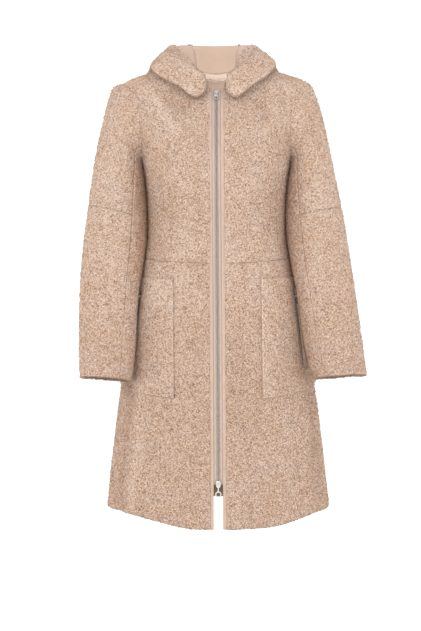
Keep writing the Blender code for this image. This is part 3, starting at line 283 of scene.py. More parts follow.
def raise_bumps(tree, shader, height, strength, distance):
    """Feeds a height to the shader's normal."""
    bump = add_node(tree, "ShaderNodeBump", {"Height": height, "Strength": strength, "Distance": distance})
    tree.links.new(bump.outputs[0], shader.inputs["Normal"])


# %% Teddy pile
PILE_WARM = (0.520, 0.362, 0.262, 1)
PILE_PALE = (0.560, 0.425, 0.345, 1)
# painted shade and painted light: the pile's colour is mixed towards these in valleys and hollows, on crowns,
# and along strokes and seams
PILE_PAINTED_SHADE = (0.255, 0.118, 0.060, 1)
PILE_PAINTED_LIGHT = (0.780, 0.650, 0.550, 1)


def pile_material(name, curl_size, grain):
    """Curly pile, with painted light on its crowns and painted shade in its valleys and hollows."""
    made, tree, shader, place = start_material(name, 0.92, 0.09, (1.0, 0.84, 0.72, 1), 0.08)
    nap_and_painted_light = {"Place": place, "Warm": PILE_WARM, "Pale": PILE_PALE, "Patch size": 0.055}
    colour = use_group(tree, "nap_patches", nap_and_painted_light)["Colour"]
    curls = use_group(tree, "pile_curls", {"Place": place, "Curl size": curl_size})
    depth = add_node(tree, "ShaderNodeAttribute", attribute_name="depth").outputs["Fac"]
    painted_light_per_point = add_node(tree, "ShaderNodeAttribute", attribute_name="nap_and_painted_light").outputs["Fac"]
    # painted light and shade laid on at each point: positive values mix towards the light colour, negative
    # ones towards the shade colour
    colour = mixed_colour(tree, stretched(tree, painted_light_per_point, 0.0, 1.0, 0.0, 0.55), colour, PILE_PAINTED_LIGHT)
    colour = mixed_colour(tree, stretched(tree, painted_light_per_point, 0.0, -1.0, 0.0, 0.45), colour, PILE_PAINTED_SHADE)
    # painted shade in the valleys between curls and painted light on their crowns, with grain as its strength
    low = arithmetic(tree, "MULTIPLY", stretched(tree, curls["Crown"], 0.55, 0.15), grain)
    colour = mixed_colour(tree, low, colour, PILE_PAINTED_SHADE)
    high = arithmetic(tree, "MULTIPLY", stretched(tree, curls["Crown"], 0.55, 0.9), grain)
    colour = mixed_colour(tree, high, colour, PILE_PAINTED_LIGHT)
    # painted shade where a point lies deep: between clumps, near seams and at the roots of curls
    colour = mixed_colour(tree, stretched(tree, depth, 0.45, 0.0, 0.0, 0.12), colour, PILE_PAINTED_SHADE)
    tree.links.new(colour, shader.inputs["Base Color"])
    raise_bumps(tree, shader, curls["Crown"], 0.7, 0.0012)
    return made


teddy_pile = pile_material("teddy_pile_curly", 0.0022, 1.0)
print("teddy_pile_curly made")


# %% Suede, tape, thread and metal
def suede_material(name, colour, shade):
    """Short even fibres with faint marks."""
    made, tree, shader, place = start_material(name, 0.88, 0.12, (1.0, 0.92, 0.85, 1), 0.15)
    grain = use_group(tree, "suede_grain", {"Place": place})
    marked = mixed_colour(tree, arithmetic(tree, "MULTIPLY", grain["Mark"], 0.5), colour, shade)
    speck = mixed_colour(tree, stretched(tree, grain["Height"], 0.55, 0.35, 0.0, 0.3), marked, shade)
    tree.links.new(speck, shader.inputs["Base Color"])
    raise_bumps(tree, shader, grain["Height"], 0.35, 0.0004)
    return made


def tape_material(name, colour, shade, thread):
    """Fine woven threads in a herringbone."""
    made, tree, shader, place = start_material(name, 0.75, 0.1, (1, 1, 1, 1), 0.3)
    weave = use_group(tree, "tape_weave", {"Place": place, "Thread": thread})["Weave"]
    tree.links.new(mixed_colour(tree, weave, shade, colour), shader.inputs["Base Color"])
    raise_bumps(tree, shader, weave, 0.4, 0.0002)
    return made


def metal_material(name, bright, dull):
    """Plated metal with rubbed places and hairline scratches."""
    made, tree, shader, place = start_material(name, 0.2, specular=0.5, metallic=1.0)
    worn = use_group(tree, "handled_metal", {"Place": place})
    tree.links.new(mixed_colour(tree, worn["Wear"], bright, dull), shader.inputs["Base Color"])
    tree.links.new(stretched(tree, worn["Wear"], 0.0, 1.0, 0.16, 0.34), shader.inputs["Roughness"])
    raise_bumps(tree, shader, worn["Height"], 0.08, 0.0001)
    return made


inner_suede = suede_material("inner_suede", (0.580, 0.435, 0.342, 1), (0.530, 0.385, 0.292, 1))
# painted shade: a deep brown copy of the suede, for the insides of the sleeves and skirts
painted_shade_suede = suede_material("painted_shade_suede", (0.250, 0.160, 0.110, 1), (0.190, 0.115, 0.075, 1))
pale_binding = suede_material("pale_binding", (0.700, 0.570, 0.480, 1), (0.640, 0.510, 0.425, 1))
facing_suede = suede_material("facing_suede", (0.570, 0.430, 0.345, 1), (0.500, 0.370, 0.290, 1))
zip_tape = tape_material("zip_tape_woven", (0.560, 0.450, 0.380, 1), (0.490, 0.390, 0.325, 1), 0.0009)
# painted shade: a dark brown tape for the zip's lower ends
painted_shade_tape_end = tape_material("zip_tape_painted_shade", (0.120, 0.075, 0.050, 1), (0.080, 0.048, 0.032, 1), 0.0009)
zip_teeth = tape_material("zip_coil_thread", (0.520, 0.440, 0.390, 1), (0.450, 0.380, 0.335, 1), 0.0006)
sewing_thread = tape_material("sewing_thread", (0.540, 0.410, 0.320, 1), (0.460, 0.340, 0.265, 1), 0.0007)
# the second, darker metal is painted shade for the narrow sides of the zip's sliders and pulls
bright_nickel = metal_material("bright_nickel", (0.76, 0.75, 0.74, 1), (0.52, 0.51, 0.50, 1))
painted_shade_nickel = metal_material("painted_shade_nickel", (0.24, 0.22, 0.20, 1), (0.14, 0.125, 0.11, 1))
print("materials:", len(bpy.data.materials))

# %% [markdown]
# ## Noise for meshes
#
# The clumps of the pile are real bumps in the mesh, so they show at the coat's outline too. Two
# kinds of noise are enough, and both are worked out for all points at once: a smooth one that
# wanders, and a cellular one with round tops and creases between them.


# %% Noise worked out for many points at once
def cell_random(cells, seed):
    """A number from 0 to 1 for each whole-number cell, the same one each time."""
    mixed = cells.astype(np.int64) @ np.array([73856093, 19349663, 83492791], np.int64) + seed * 2654435761
    mixed = (mixed ^ (mixed >> 13)) * 1274126177 & 0xFFFFFFFF
    return ((mixed ^ (mixed >> 16)) & 0xFFFFFF) / float(0x1000000)


def wandering_noise(points, size, seed):
    """Smooth noise from -1 to 1 with features of about that size."""
    scaled = points / size
    corner = np.floor(scaled).astype(np.int64)
    share = scaled - corner
    share = share * share * (3 - 2 * share)
    total = np.zeros(len(points))
    for step in np.ndindex(2, 2, 2):
        step = np.array(step)
        weight = np.prod(np.where(step == 1, share, 1 - share), axis=1)
        total += weight * cell_random(corner + step, seed)
    return total * 2 - 1


def clump_noise(points, size, seed):
    """Round tops with creases between them, from 0 in a crease to 1 on a top."""
    scaled = points / size
    corner = np.floor(scaled).astype(np.int64)
    near = np.full(len(points), 9.0)
    for step in np.ndindex(3, 3, 3):
        cell = corner + np.array(step) - 1
        middle = cell + np.stack([cell_random(cell, seed + axis) for axis in range(3)], axis=1)
        near = np.minimum(near, ((scaled - middle) ** 2).sum(axis=1))
    return 1 - np.clip(near / 0.62, 0, 1)


trial = np.array([[0.1, 0.2, 0.3]])
print("noise at one place:", wandering_noise(trial, 0.01, 1), clump_noise(trial, 0.01, 1))

# %% [markdown]
# ## From a plain wall to worn cloth
#
# A panel's solid is a closed wall: one side out, one side in, and a narrow edge all round. Its
# triangles are joined back to four-sided cells, because a subdivision surface turns such cells
# into an even, flowing form. The edges of the wall are creased, so seams stay seams. A smoothed
# form shrinks a little, so the cells are first pushed out by as much, and the dressed coat keeps
# the coat's size.

# %% Helpers that read and write a mesh's points
WELD = 1e-5
FOLD_LIMIT = math.radians(55)
OUTSIDE, INSIDE, FIRST_EDGE = 0, 1, 2


def read_points(mesh):
    """The mesh's points as an array."""
    places = np.zeros(len(mesh.vertices) * 3)
    mesh.vertices.foreach_get("co", places)
    return places.reshape(-1, 3)


def write_points(mesh, points):
    """Puts new places into the mesh."""
    mesh.vertices.foreach_set("co", points.ravel())
    mesh.update()


def number_sides(cells):
    """Numbers each face of a wall by its side: outside, inside, then its edges from the largest down."""
    side, areas = {}, []
    for start in cells.faces:
        if start in side:
            continue
        side[start] = len(areas)
        areas.append(0.0)
        waiting = [start]
        while waiting:
            face = waiting.pop()
            areas[side[start]] += face.calc_area()
            for edge in face.edges:
                if edge.calc_face_angle(0) < FOLD_LIMIT:
                    for other in edge.link_faces:
                        if other not in side:
                            side[other] = side[start]
                            waiting.append(other)
    rank = np.argsort(np.argsort(-np.array(areas), kind="stable"), kind="stable")
    for face in cells.faces:
        face.material_index = int(rank[side[face]])
    return len(areas)


def four_sided_wall(node):
    """The node's wall with four-sided cells, numbered sides and creased edges."""
    cells = bmesh.new()
    cells.from_mesh(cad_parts[node].data)
    bmesh.ops.remove_doubles(cells, verts=cells.verts, dist=WELD)
    bmesh.ops.join_triangles(cells, faces=cells.faces, angle_face_threshold=3.1, angle_shape_threshold=3.1)
    cells.normal_update()
    number_sides(cells)
    crease = cells.edges.layers.float.new("crease_edge")
    for edge in cells.edges:
        if len({face.material_index for face in edge.link_faces}) > 1:
            edge[crease] = 1.0
    return cells


# %% Helper that smooths a wall and keeps its size
KEEP_ROUNDS, KEEP_SHARE = 3, 0.85


def smoothed_wall(cells, levels):
    """A finer mesh of the wall that runs through the wall's own corners."""
    coarse = bpy.data.meshes.new("coarse_wall")
    cells.to_mesh(coarse)
    cells.free()
    holder = bpy.data.objects.new("coarse_wall", coarse)
    scene.collection.objects.link(holder)
    smooth = holder.modifiers.new("smooth", "SUBSURF")
    smooth.levels = 1
    target = read_points(coarse)
    for _ in range(KEEP_ROUNDS):
        graph = bpy.context.evaluated_depsgraph_get()
        shown = holder.evaluated_get(graph).to_mesh()
        reached = read_points(shown)[: len(target)]
        holder.evaluated_get(graph).to_mesh_clear()
        write_points(coarse, read_points(coarse) + KEEP_SHARE * (target - reached))
    smooth.levels = levels
    graph = bpy.context.evaluated_depsgraph_get()
    fine = bpy.data.meshes.new_from_object(holder.evaluated_get(graph))
    bpy.data.objects.remove(holder)
    bpy.data.meshes.remove(coarse)
    return fine


def split_outside(fine):
    """Cuts the outside's cells in four, because only that side carries clumps of pile."""
    cells = bmesh.new()
    cells.from_mesh(fine)
    edges = list({edge for face in cells.faces if face.material_index == OUTSIDE for edge in face.edges})
    bmesh.ops.subdivide_edges(cells, edges=edges, cuts=1, use_grid_fill=True)
    cells.to_mesh(fine)
    cells.free()
    return fine


# %% Helper that lists a mesh's faces, sides and outside normals
def faces_of(mesh):
    """(start of each face, its number of corners, the corners' points, the side of each face)."""
    count = len(mesh.polygons)
    starts, totals, sides = (np.zeros(count, np.int32) for _ in range(3))
    mesh.polygons.foreach_get("loop_start", starts)
    mesh.polygons.foreach_get("loop_total", totals)
    mesh.polygons.foreach_get("material_index", sides)
    corners = np.zeros(len(mesh.loops), np.int32)
    mesh.loops.foreach_get("vertex_index", corners)
    return starts, totals, corners, sides


def triangles_of(starts, totals, corners, chosen):
    """The chosen faces as fans of triangles."""
    fans = []
    for corner in range(1, int(totals[chosen].max()) - 1):
        some = starts[chosen & (totals > corner + 1)]
        fans.append(np.stack([corners[some], corners[some + corner], corners[some + corner + 1]], axis=1))
    return np.concatenate(fans)


def unit(vectors):
    """Each vector at length one."""
    return vectors / np.maximum(np.linalg.norm(vectors, axis=-1, keepdims=True), 1e-12)


def point_normals(points, triangles):
    """The mean direction of the triangles round each point."""
    a, b, c = (points[triangles[:, i]] for i in range(3))
    across = np.cross(b - a, c - a)
    total = np.zeros_like(points)
    for corner in range(3):
        np.add.at(total, triangles[:, corner], across)
    return unit(total)


print("wall helpers ready")

# %% [markdown]
# ## Painted light and shade, and how the cloth hangs
#
# Light and shade are painted into the pile along a few strokes: a light one across the chest,
# an upright light ridge on one front of the skirt with a darker channel beside it, a darker zone
# near the other side, darker patches below the hood and beside the sleeves, and paler bands down
# the body's sides and along the hood's edges. Each stroke is a line on the coat with a width and a
# strength. The skirt's ridge and channel are also real, low folds, where the cloth hangs from the
# pocket.

# %% Painted light and shade, as strokes on the coat's front
# each: (x, z) of its start, (x, z) of its end, half width, strength from -1 dark to 1 light
PAINTED_LIGHT_STROKES = [
    ((-0.123, -0.075), (-0.083, -0.143), 0.010, 0.55),
    ((-0.108, -0.070), (-0.066, -0.140), 0.009, -0.30),
    ((-0.092, -0.085), (-0.060, -0.100), 0.012, -0.50),
    ((0.088, -0.092), (0.100, -0.116), 0.012, -0.45),
    ((-0.150, -0.660), (-0.168, -0.900), 0.011, 0.45),
    ((-0.178, -0.660), (-0.196, -0.900), 0.012, -0.55),
    ((0.190, -0.640), (0.208, -0.890), 0.012, -0.45),
    ((-0.030, -0.430), (-0.034, -0.640), 0.020, -0.22),
    ((0.055, -0.180), (0.060, -0.330), 0.030, -0.22),
    ((-0.068, -0.190), (-0.072, -0.330), 0.026, -0.20),
    ((0.110, -0.420), (0.118, -0.640), 0.022, 0.22),
    ((-0.100, -0.430), (-0.104, -0.640), 0.022, 0.20),
    ((-0.133, -0.395), (-0.125, -0.480), 0.020, 0.55),
    ((0.092, -0.450), (0.098, -0.700), 0.009, 0.40),
    ((0.112, -0.340), (0.116, -0.390), 0.012, 0.40),
    ((-0.030, -0.160), (-0.032, -0.330), 0.014, -0.30),
    ((0.040, -0.560), (0.044, -0.740), 0.030, -0.25),
    ((0.150, -0.355), (0.184, -0.600), 0.010, -0.55),
    ((-0.150, -0.345), (-0.162, -0.460), 0.009, -0.45),
    ((-0.136, -0.200), (-0.122, -0.345), 0.016, 0.60),
    ((0.136, -0.210), (0.126, -0.350), 0.013, 0.50),
    ((-0.080, 0.038), (-0.036, -0.030), 0.008, 0.55),
    ((0.072, 0.038), (0.024, -0.030), 0.008, 0.55),
    ((-0.130, -0.028), (-0.040, -0.070), 0.007, 0.50),
    ((0.122, -0.028), (0.034, -0.070), 0.007, 0.50),
]
# low folds of the cloth: the same kind of line, with a height instead of a strength
SOFT_FOLDS = [
    ((-0.150, -0.640), (-0.168, -0.905), 0.014, 0.0034),
    ((-0.180, -0.640), (-0.196, -0.905), 0.013, -0.0038),
    ((0.192, -0.640), (0.210, -0.895), 0.013, -0.0030),
    ((0.166, -0.650), (0.180, -0.905), 0.016, 0.0026),
    ((-0.098, -0.660), (-0.106, -0.905), 0.022, -0.0020),
    ((0.100, -0.660), (0.112, -0.905), 0.022, -0.0020),
    ((-0.092, -0.085), (-0.058, -0.104), 0.010, -0.0026),
    ((0.088, -0.092), (0.100, -0.118), 0.010, -0.0024),
]


def along_lines(points, lines):
    """The sum of soft-edged lines drawn on the front, at each point."""
    total = np.zeros(len(points))
    flat = points[:, [0, 2]]
    for start, end, width, strength in lines:
        start, end = np.array(start), np.array(end)
        run = end - start
        share = np.clip((flat - start) @ run / (run @ run), 0, 1)
        away = np.linalg.norm(flat - start - share[:, None] * run, axis=1)
        total += strength * np.exp(-((away / width) ** 2))
    return total * (points[:, 1] < 0.01)


print("strokes:", len(PAINTED_LIGHT_STROKES), "folds:", len(SOFT_FOLDS))

# %% [markdown]
# ## Pile panels
#
# On each panel's outside the points move out along the cloth by the clumps' height. Near a seam
# the clumps fade and the cloth dips, as two edges turned in and sewn together do, and the pile
# there and on the pockets' edges is painted lighter. The inside is left smooth for the suede.
# Where a sleeve hangs against the body, both piles stand fuller and meet, and painted shade
# darkens them there. The pile is also painted darker towards the bottom. Worn cloth is also never
# quite as cut: the cuffs, the sides of the front hem and the corners of the hood's rim are drawn
# up a little, and the solid's whole wall goes with them, so that the cloth keeps its thickness.

# %% Sizes of the pile and of what the wearer draws up, in metres
CLUMP_SIZE, CLUMP_HEIGHT, CLUMP_LEVEL = 0.0052, 0.0006, 0.35
WANDER_SIZE, WANDER_REACH = 0.006, 0.0022
SWELL_SIZE, SWELL_HEIGHT = 0.060, 0.0011
PILE_LIFT = 0.0003
SEAM_REACH, SEAM_DIP = 0.0034, 0.0004
# the next lines set painted light along seams and pocket edges, and painted shade that grows towards the
# bottom
SEAM_LIGHT, SEAM_LIGHT_POCKET = 0.35, 0.60
LOWER_PAINTED_SHADE, LOWER_START, LOWER_SPAN = -0.40, -0.390, 0.230
CROWDED_MIDDLE, CROWDED_REACH, CROWDED_HEIGHT = -0.325, 0.125, 0.0060
CUFF_START, CUFF_SPAN, CUFF_DEPTH = -0.560, 0.095, 0.05
CUFF_LEFT, CUFF_RIGHT, CUFF_BACK = 0.0105, 0.0145, 0.004
HEM_START, HEM_SPAN = -0.800, 0.120
# how far the front hem rises at each place across the coat: (x, rise)
HEM_RISE = [(-0.226, 0), (-0.206, 0.008), (-0.190, 0.0145), (-0.159, 0.0125)]
HEM_RISE += [(-0.116, 0.008), (-0.085, 0.004), (-0.050, 0)]
HEM_RISE += [(0.115, 0), (0.162, 0.006), (0.194, 0.011), (0.217, 0.005), (0.227, 0)]
CROWDED_FROM, CROWDED_TO = 0.35, 0.75
CORNER_OUT, CORNER_LEAN, CORNER_BACK, CORNER_HEIGHT = 0.079, -0.007, 0.010, 0.034
CORNER_REACH, CORNER_SPREAD, CORNER_LIFT = 0.026, 0.002, 0.0085
RIM_OUT, RIM_LEAN, RIM_FRONT, RIM_HEIGHT = 0.029, -0.002, -0.062, -0.012
RIM_REACH, RIM_SPREAD = 0.030, 0.0085


# %% Helpers that measure and shape the cloth
def distance_to(points, chosen, others):
    """How far each chosen point is from the nearest of the other points."""
    tree = kdtree.KDTree(len(others))
    for index in others:
        tree.insert(points[index], int(index))
    tree.balance()
    return np.array([tree.find(points[index])[2] for index in chosen])


def crowded_pile(points, normals, on_sleeve):
    """The extra height of the pile where a sleeve hangs against the side of the body."""
    towards = normals[:, 0] * np.sign(points[:, 0]) * (-1 if on_sleeve else 1)
    along = np.exp(-(((points[:, 2] - CROWDED_MIDDLE) / CROWDED_REACH) ** 2))
    facing = np.clip((towards - CROWDED_FROM) / (CROWDED_TO - CROWDED_FROM), 0, 1)
    return CROWDED_HEIGHT * along * facing


def raised_corners(points):
    """The hood's rim lifted at its upper corners, and parted where it comes down to the neck."""
    lifted = points.copy()
    for side in (-1, 1):
        corner = np.array([side * CORNER_OUT + CORNER_LEAN, CORNER_BACK, CORNER_HEIGHT])
        weight = np.exp(-((points - corner) ** 2).sum(axis=1) / CORNER_REACH**2)
        lifted += weight[:, None] * np.array([side * CORNER_SPREAD, 0, CORNER_LIFT])
        rim = np.array([side * RIM_OUT + RIM_LEAN, RIM_FRONT, RIM_HEIGHT])
        weight = np.exp(-((points - rim) ** 2).sum(axis=1) / RIM_REACH**2)
        lifted[:, 0] += weight * side * RIM_SPREAD
    return lifted


def raised_edges(points, node):
    """The cuffs and the front hem raised to where the worn coat carries them."""
    raised = points.copy()
    if node.startswith("sleeve"):
        low = np.clip((CUFF_START - points[:, 2]) / CUFF_SPAN, 0, 1) ** 2
        middle = points[low > 0, 1].mean() if low.any() else 0
        behind = np.clip((points[:, 1] - middle) / CUFF_DEPTH, 0, 1)
        raised[:, 2] += low * (np.where(points[:, 0] < 0, CUFF_LEFT, CUFF_RIGHT) + CUFF_BACK * behind)
    elif node.startswith("front_skirt"):
        low = np.clip((HEM_START - points[:, 2]) / HEM_SPAN, 0, 1) ** 2
        across, rise = np.array(HEM_RISE).T
        raised[:, 2] += low * np.interp(points[:, 0], across, rise)
    return raised


# %% Helper that dresses one wall
def dress_wall(name, node, materials, seed, levels=2):
    """A cloth panel made from a node's wall: a dictionary of its object and what later pieces need."""
    fine = split_outside(smoothed_wall(four_sided_wall(node), levels))
    starts, totals, corners, sides = faces_of(fine)
    points = read_points(fine)
    outside = triangles_of(starts, totals, corners, sides == OUTSIDE)
    inside = triangles_of(starts, totals, corners, sides == INSIDE)
    edge = triangles_of(starts, totals, corners, sides >= FIRST_EDGE)
    normals = point_normals(points, outside)
    moved = np.unique(outside)
    border = np.intersect1d(moved, np.unique(edge))
    near = distance_to(points, moved, border)
    open_cloth = np.clip(near / SEAM_REACH, 0, 1)
    open_cloth = open_cloth * open_cloth * (3 - 2 * open_cloth)
    place = points[moved]
    wander = np.stack([wandering_noise(place, WANDER_SIZE, seed + axis) for axis in range(3)], axis=1)
    crown = clump_noise(place + WANDER_REACH * wander, CLUMP_SIZE, 11)
    swell = wandering_noise(place, SWELL_SIZE, 5)
    height = open_cloth * (PILE_LIFT + CLUMP_HEIGHT * (crown - CLUMP_LEVEL) + SWELL_HEIGHT * swell)
    height += along_lines(place, SOFT_FOLDS) * open_cloth - SEAM_DIP * (1 - open_cloth)
    crowd = 0
    if node.startswith(("front_bodice", "back_bodice", "front_skirt", "sleeve")):
        crowd = crowded_pile(place, normals[moved], node.startswith("sleeve"))
    height += crowd
    points[moved] += normals[moved] * height[:, None]
    if node.startswith("hood"):
        points = raised_corners(points)
    points = raised_edges(points, node)
    # painted shade: a lower depth between clumps and near seams darkens the pile
    depth = np.full(len(points), 0.6)
    depth[moved] = np.clip(0.15 + crown * 0.85, 0, 1) * (0.75 + 0.25 * open_cloth)
    # painted light and shade kept at each point: lighter along seams and on the pockets' edges, darker
    # towards the bottom and where a sleeve crowds the body, with the strokes on top
    nap_and_painted_light = np.full(len(points), SEAM_LIGHT_POCKET if node.startswith("pocket") else 0.0)
    lower = LOWER_PAINTED_SHADE * np.clip((LOWER_START - place[:, 2]) / LOWER_SPAN, 0, 1)
    at_seam = (SEAM_LIGHT_POCKET if node.startswith("pocket") else SEAM_LIGHT) * (1 - open_cloth)
    strokes = along_lines(place, PAINTED_LIGHT_STROKES)
    nap_and_painted_light[moved] = np.clip(strokes + at_seam + lower - crowd / CROWDED_HEIGHT, -1, 1)
    write_points(fine, points)
    for label, values in (("depth", depth), ("nap_and_painted_light", nap_and_painted_light)):
        fine.attributes.new(label, "FLOAT", "POINT").data.foreach_set("value", values.astype(np.float32))
    fine.materials.clear()
    for material in materials:
        fine.materials.append(material)
    fine.polygons.foreach_set("material_index", np.where(sides == INSIDE, 1, 0).astype(np.int32))
    fine.polygons.foreach_set("use_smooth", np.ones(len(sides), bool))
    fine.update()
    made = bpy.data.objects.new(name, fine)
    scene.collection.objects.link(made)
    edges = [triangles_of(starts, totals, corners, sides == k) for k in range(FIRST_EDGE, sides.max() + 1)]
    triangles = {"outside": outside, "inside": inside, "edges": edges}
    return {"object": made, "points": points, "nap_and_painted_light": nap_and_painted_light, **triangles}


# %% Helper that makes a mesh object from plain arrays
def mesh_object(name, points, faces, material, values=None):
    """A smooth-shaded object from points and faces that all have the same number of corners."""
    corners = faces.shape[1]
    mesh = bpy.data.meshes.new(name)
    mesh.vertices.add(len(points))
    mesh.vertices.foreach_set("co", np.ascontiguousarray(points, np.float32).ravel())
    mesh.loops.add(faces.size)
    mesh.loops.foreach_set("vertex_index", faces.astype(np.int32).ravel())
    mesh.polygons.add(len(faces))
    mesh.polygons.foreach_set("loop_start", np.arange(0, faces.size, corners, dtype=np.int32))
    mesh.polygons.foreach_set("use_smooth", np.ones(len(faces), bool))
    mesh.update(calc_edges=True)
    for label, numbers in (values or {}).items():
        mesh.attributes.new(label, "FLOAT", "POINT").data.foreach_set("value", numbers.astype(np.float32))
    mesh.materials.append(material)
    made = bpy.data.objects.new(name, mesh)
    scene.collection.objects.link(made)
    return made


# %% [markdown]
# ## Curls that stand up
#
# Bumps alone leave the outline too clean. Thousands of small curls stand on the panels, each a
# slim closed spindle that leaves the cloth, bends over and ends in a point. They lean mostly
# downwards, the way the pile was brushed, with plenty of disorder.

# %% Helper that grows curls
TUFT_SPACING, TUFT_LENGTH, TUFT_RISE, TUFT_WIDTH = 0.0048, 0.0028, 0.0016, 0.00068
SPINDLE = np.array([[0, 2, 1], [0, 3, 2], [0, 1, 3], [4, 1, 2], [4, 2, 3], [4, 3, 1]])


pull_nodes = [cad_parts["pocket_pull_" + side] for side in ("left", "right")]
PULL_PLACES = [read_points(pull.data).mean(axis=0) for pull in pull_nodes]
PULL_CLEARANCE, ROOT_DEPTH = 0.016, 0.0006


def grow_curls(name, panel, seed, triangles=None, spacing=TUFT_SPACING, scale=1.0, combed=-0.7):
    """Curls on a panel's outside, or on the triangles given, as one object. Pocket pulls stay clear."""
    draw = np.random.default_rng(seed)
    points = panel["points"]
    triangles = panel["outside"] if triangles is None else triangles
    a, b, c = (points[triangles[:, i]] for i in range(3))
    across = np.cross(b - a, c - a)
    size = np.linalg.norm(across, axis=1) / 2
    count = int(size.sum() / spacing**2)
    pick = draw.choice(len(size), count, p=size / size.sum())
    u, v = draw.random((2, count, 1))
    u, v = np.where(u + v > 1, 1 - u, u), np.where(u + v > 1, 1 - v, v)
    root = a[pick] + u * (b[pick] - a[pick]) + v * (c[pick] - a[pick])
    if name.startswith("sleeve"):
        away = [np.linalg.norm(root - place, axis=1) for place in PULL_PLACES]
        clear = np.min(away, axis=0) > PULL_CLEARANCE
        pick, root, count = pick[clear], root[clear], int(clear.sum())
    corner = triangles[pick]
    out = unit(across[pick])
    lean = draw.normal(size=(count, 3)) + np.array([0, 0, combed])
    lean = unit(lean - (lean * out).sum(axis=1, keepdims=True) * out)
    side = np.cross(out, lean)
    sizes = (TUFT_LENGTH, TUFT_RISE, TUFT_WIDTH)
    length, rise, width = (scale * value * draw.uniform(0.65, 1.35, (count, 1)) for value in sizes)
    middle = root + out * rise * 0.8 + lean * length * 0.4
    spindle = [root - out * ROOT_DEPTH]
    for turn in range(3):
        angle = 2 * math.pi * turn / 3 + 0.5
        round_it = math.cos(angle) * side + math.sin(angle) * unit(out + 0.3 * lean)
        spindle.append(middle + width * round_it)
    spindle.append(root + out * rise * draw.uniform(0.5, 1.1, (count, 1)) + lean * length)
    places = np.stack(spindle, axis=1).reshape(-1, 3)
    faces = (np.arange(count)[:, None, None] * 5 + SPINDLE[None]).reshape(-1, 3)
    # painted shade: each curl is darker at its root
    depth = np.tile([0.25, 0.8, 0.8, 0.8, 1.0], count) * np.repeat(draw.uniform(0.6, 1.0, count), 5)
    # each curl takes the painted light and shade of the cloth under it
    nap_and_painted_light = np.repeat(panel["nap_and_painted_light"][corner].mean(axis=1), 5)
    return mesh_object(name, places, faces, teddy_pile, {"depth": depth, "nap_and_painted_light": nap_and_painted_light})


print("curl helper ready")

# %% [markdown]
# ## The cut of every panel
#
# Cloth starts flat. For each panel the table gives the rectangle that the cut piece needs and its
# area inside that rectangle.

# %% The panels, their flat cuts and what they hang from
# each: width and length of the cut, its area, how it is held, what it hangs from
PANELS = {
    "back_bodice": ((0.50, 0.43), 0.170, "hung", ["neck_tape"]),
    "front_bodice_left": ((0.26, 0.42), 0.078, "hung", ["back_bodice"]),
    "front_bodice_right": ((0.26, 0.42), 0.078, "hung", ["back_bodice"]),
    "back_skirt": ((0.60, 0.54), 0.280, "hung", ["back_bodice"]),
    "front_skirt_left": ((0.30, 0.54), 0.132, "hung", ["front_bodice_left"]),
    "front_skirt_right": ((0.30, 0.54), 0.132, "hung", ["front_bodice_right"]),
    "sleeve_upper_left": ((0.27, 0.31), 0.061, "hung", ["back_bodice"]),
    "sleeve_upper_right": ((0.27, 0.31), 0.064, "hung", ["back_bodice"]),
    "sleeve_lower_left": ((0.25, 0.38), 0.085, "hung", ["sleeve_upper_left"]),
    "sleeve_lower_right": ((0.25, 0.38), 0.085, "hung", ["sleeve_upper_right"]),
    "sleeve_under_left": ((0.13, 0.52), 0.048, "hung", ["sleeve_upper_left"]),
    "sleeve_under_right": ((0.13, 0.52), 0.048, "hung", ["sleeve_upper_right"]),
    "hood_left": ((0.30, 0.34), 0.065, "laid", ["back_bodice"]),
    "hood_gusset": ((0.15, 0.62), 0.080, "laid", ["back_bodice"]),
    "hood_right": ((0.30, 0.34), 0.068, "laid", ["back_bodice"]),
    "pocket_left": ((0.17, 0.24), 0.034, "stretched", ["front_skirt_left"]),
    "pocket_right": ((0.17, 0.24), 0.034, "stretched", ["front_skirt_right"]),
}


# %% Dress the panels
def wear(piece):
    """Puts a piece on the coat's own body."""
    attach(piece, "coat")


dressed, on_sheet = {}, {}
for number, node in enumerate(PANELS):
    # painted shade: sleeves and skirts are lined with the deep brown suede, as their openings look dark
    lining = painted_shade_suede if node.startswith("sleeve") or "skirt" in node else inner_suede
    panel = dress_wall(node + "_cloth", node, (teddy_pile, lining), 100 + number)
    curls = grow_curls(node + "_curls", panel, 500 + number)
    for piece in (panel["object"], curls):
        wear(piece)
    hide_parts(node)
    dressed[node] = panel
    on_sheet[node] = [curls]
    print(node, "faces", len(panel["object"].data.polygons), "curls", len(curls.data.polygons) // 6)

# %% [markdown]
# ## Ragged edges
#
# Where the cloth is turned up at the hem and the cuffs, and under the hood's lower fold, the pile
# stands free and makes a ragged edge. Extra curls grow there, on the faces that look down.

# %% Grow the ragged edges


def facing_down(panel, triangles, limit):
    """Those of the triangles that look down more than the limit."""
    a, b, c = (panel["points"][triangles[:, i]] for i in range(3))
    return triangles[unit(np.cross(b - a, c - a))[:, 2] < limit]


ragged = {}
for number, (node, panel) in enumerate(dressed.items()):
    if node.startswith("hood"):
        chosen = facing_down(panel, panel["outside"], -0.30)
    elif "skirt" in node or node.startswith(("sleeve_lower", "sleeve_under")):
        chosen = facing_down(panel, np.concatenate(panel["edges"]), -0.60)
    else:
        continue
    spacing, scale = (0.0034, 1.15) if node.startswith("hood") else (0.0017, 1.0)
    fringe = grow_curls(node + "_ragged_edge", panel, 900 + number, chosen, spacing, scale, -1.5)
    wear(fringe)
    on_sheet[node].append(fringe)
    ragged[node] = len(fringe.data.polygons) // 6
print("curls on edges:", ragged)

# %% [markdown]
# ## Piping inside the hood
#
# The hood's middle piece is joined to its sides by seams that are bound with a narrow suede
# piping. It shows as two pale lines in the opening above the neck. Each line follows the border of
# the middle piece on its inside.


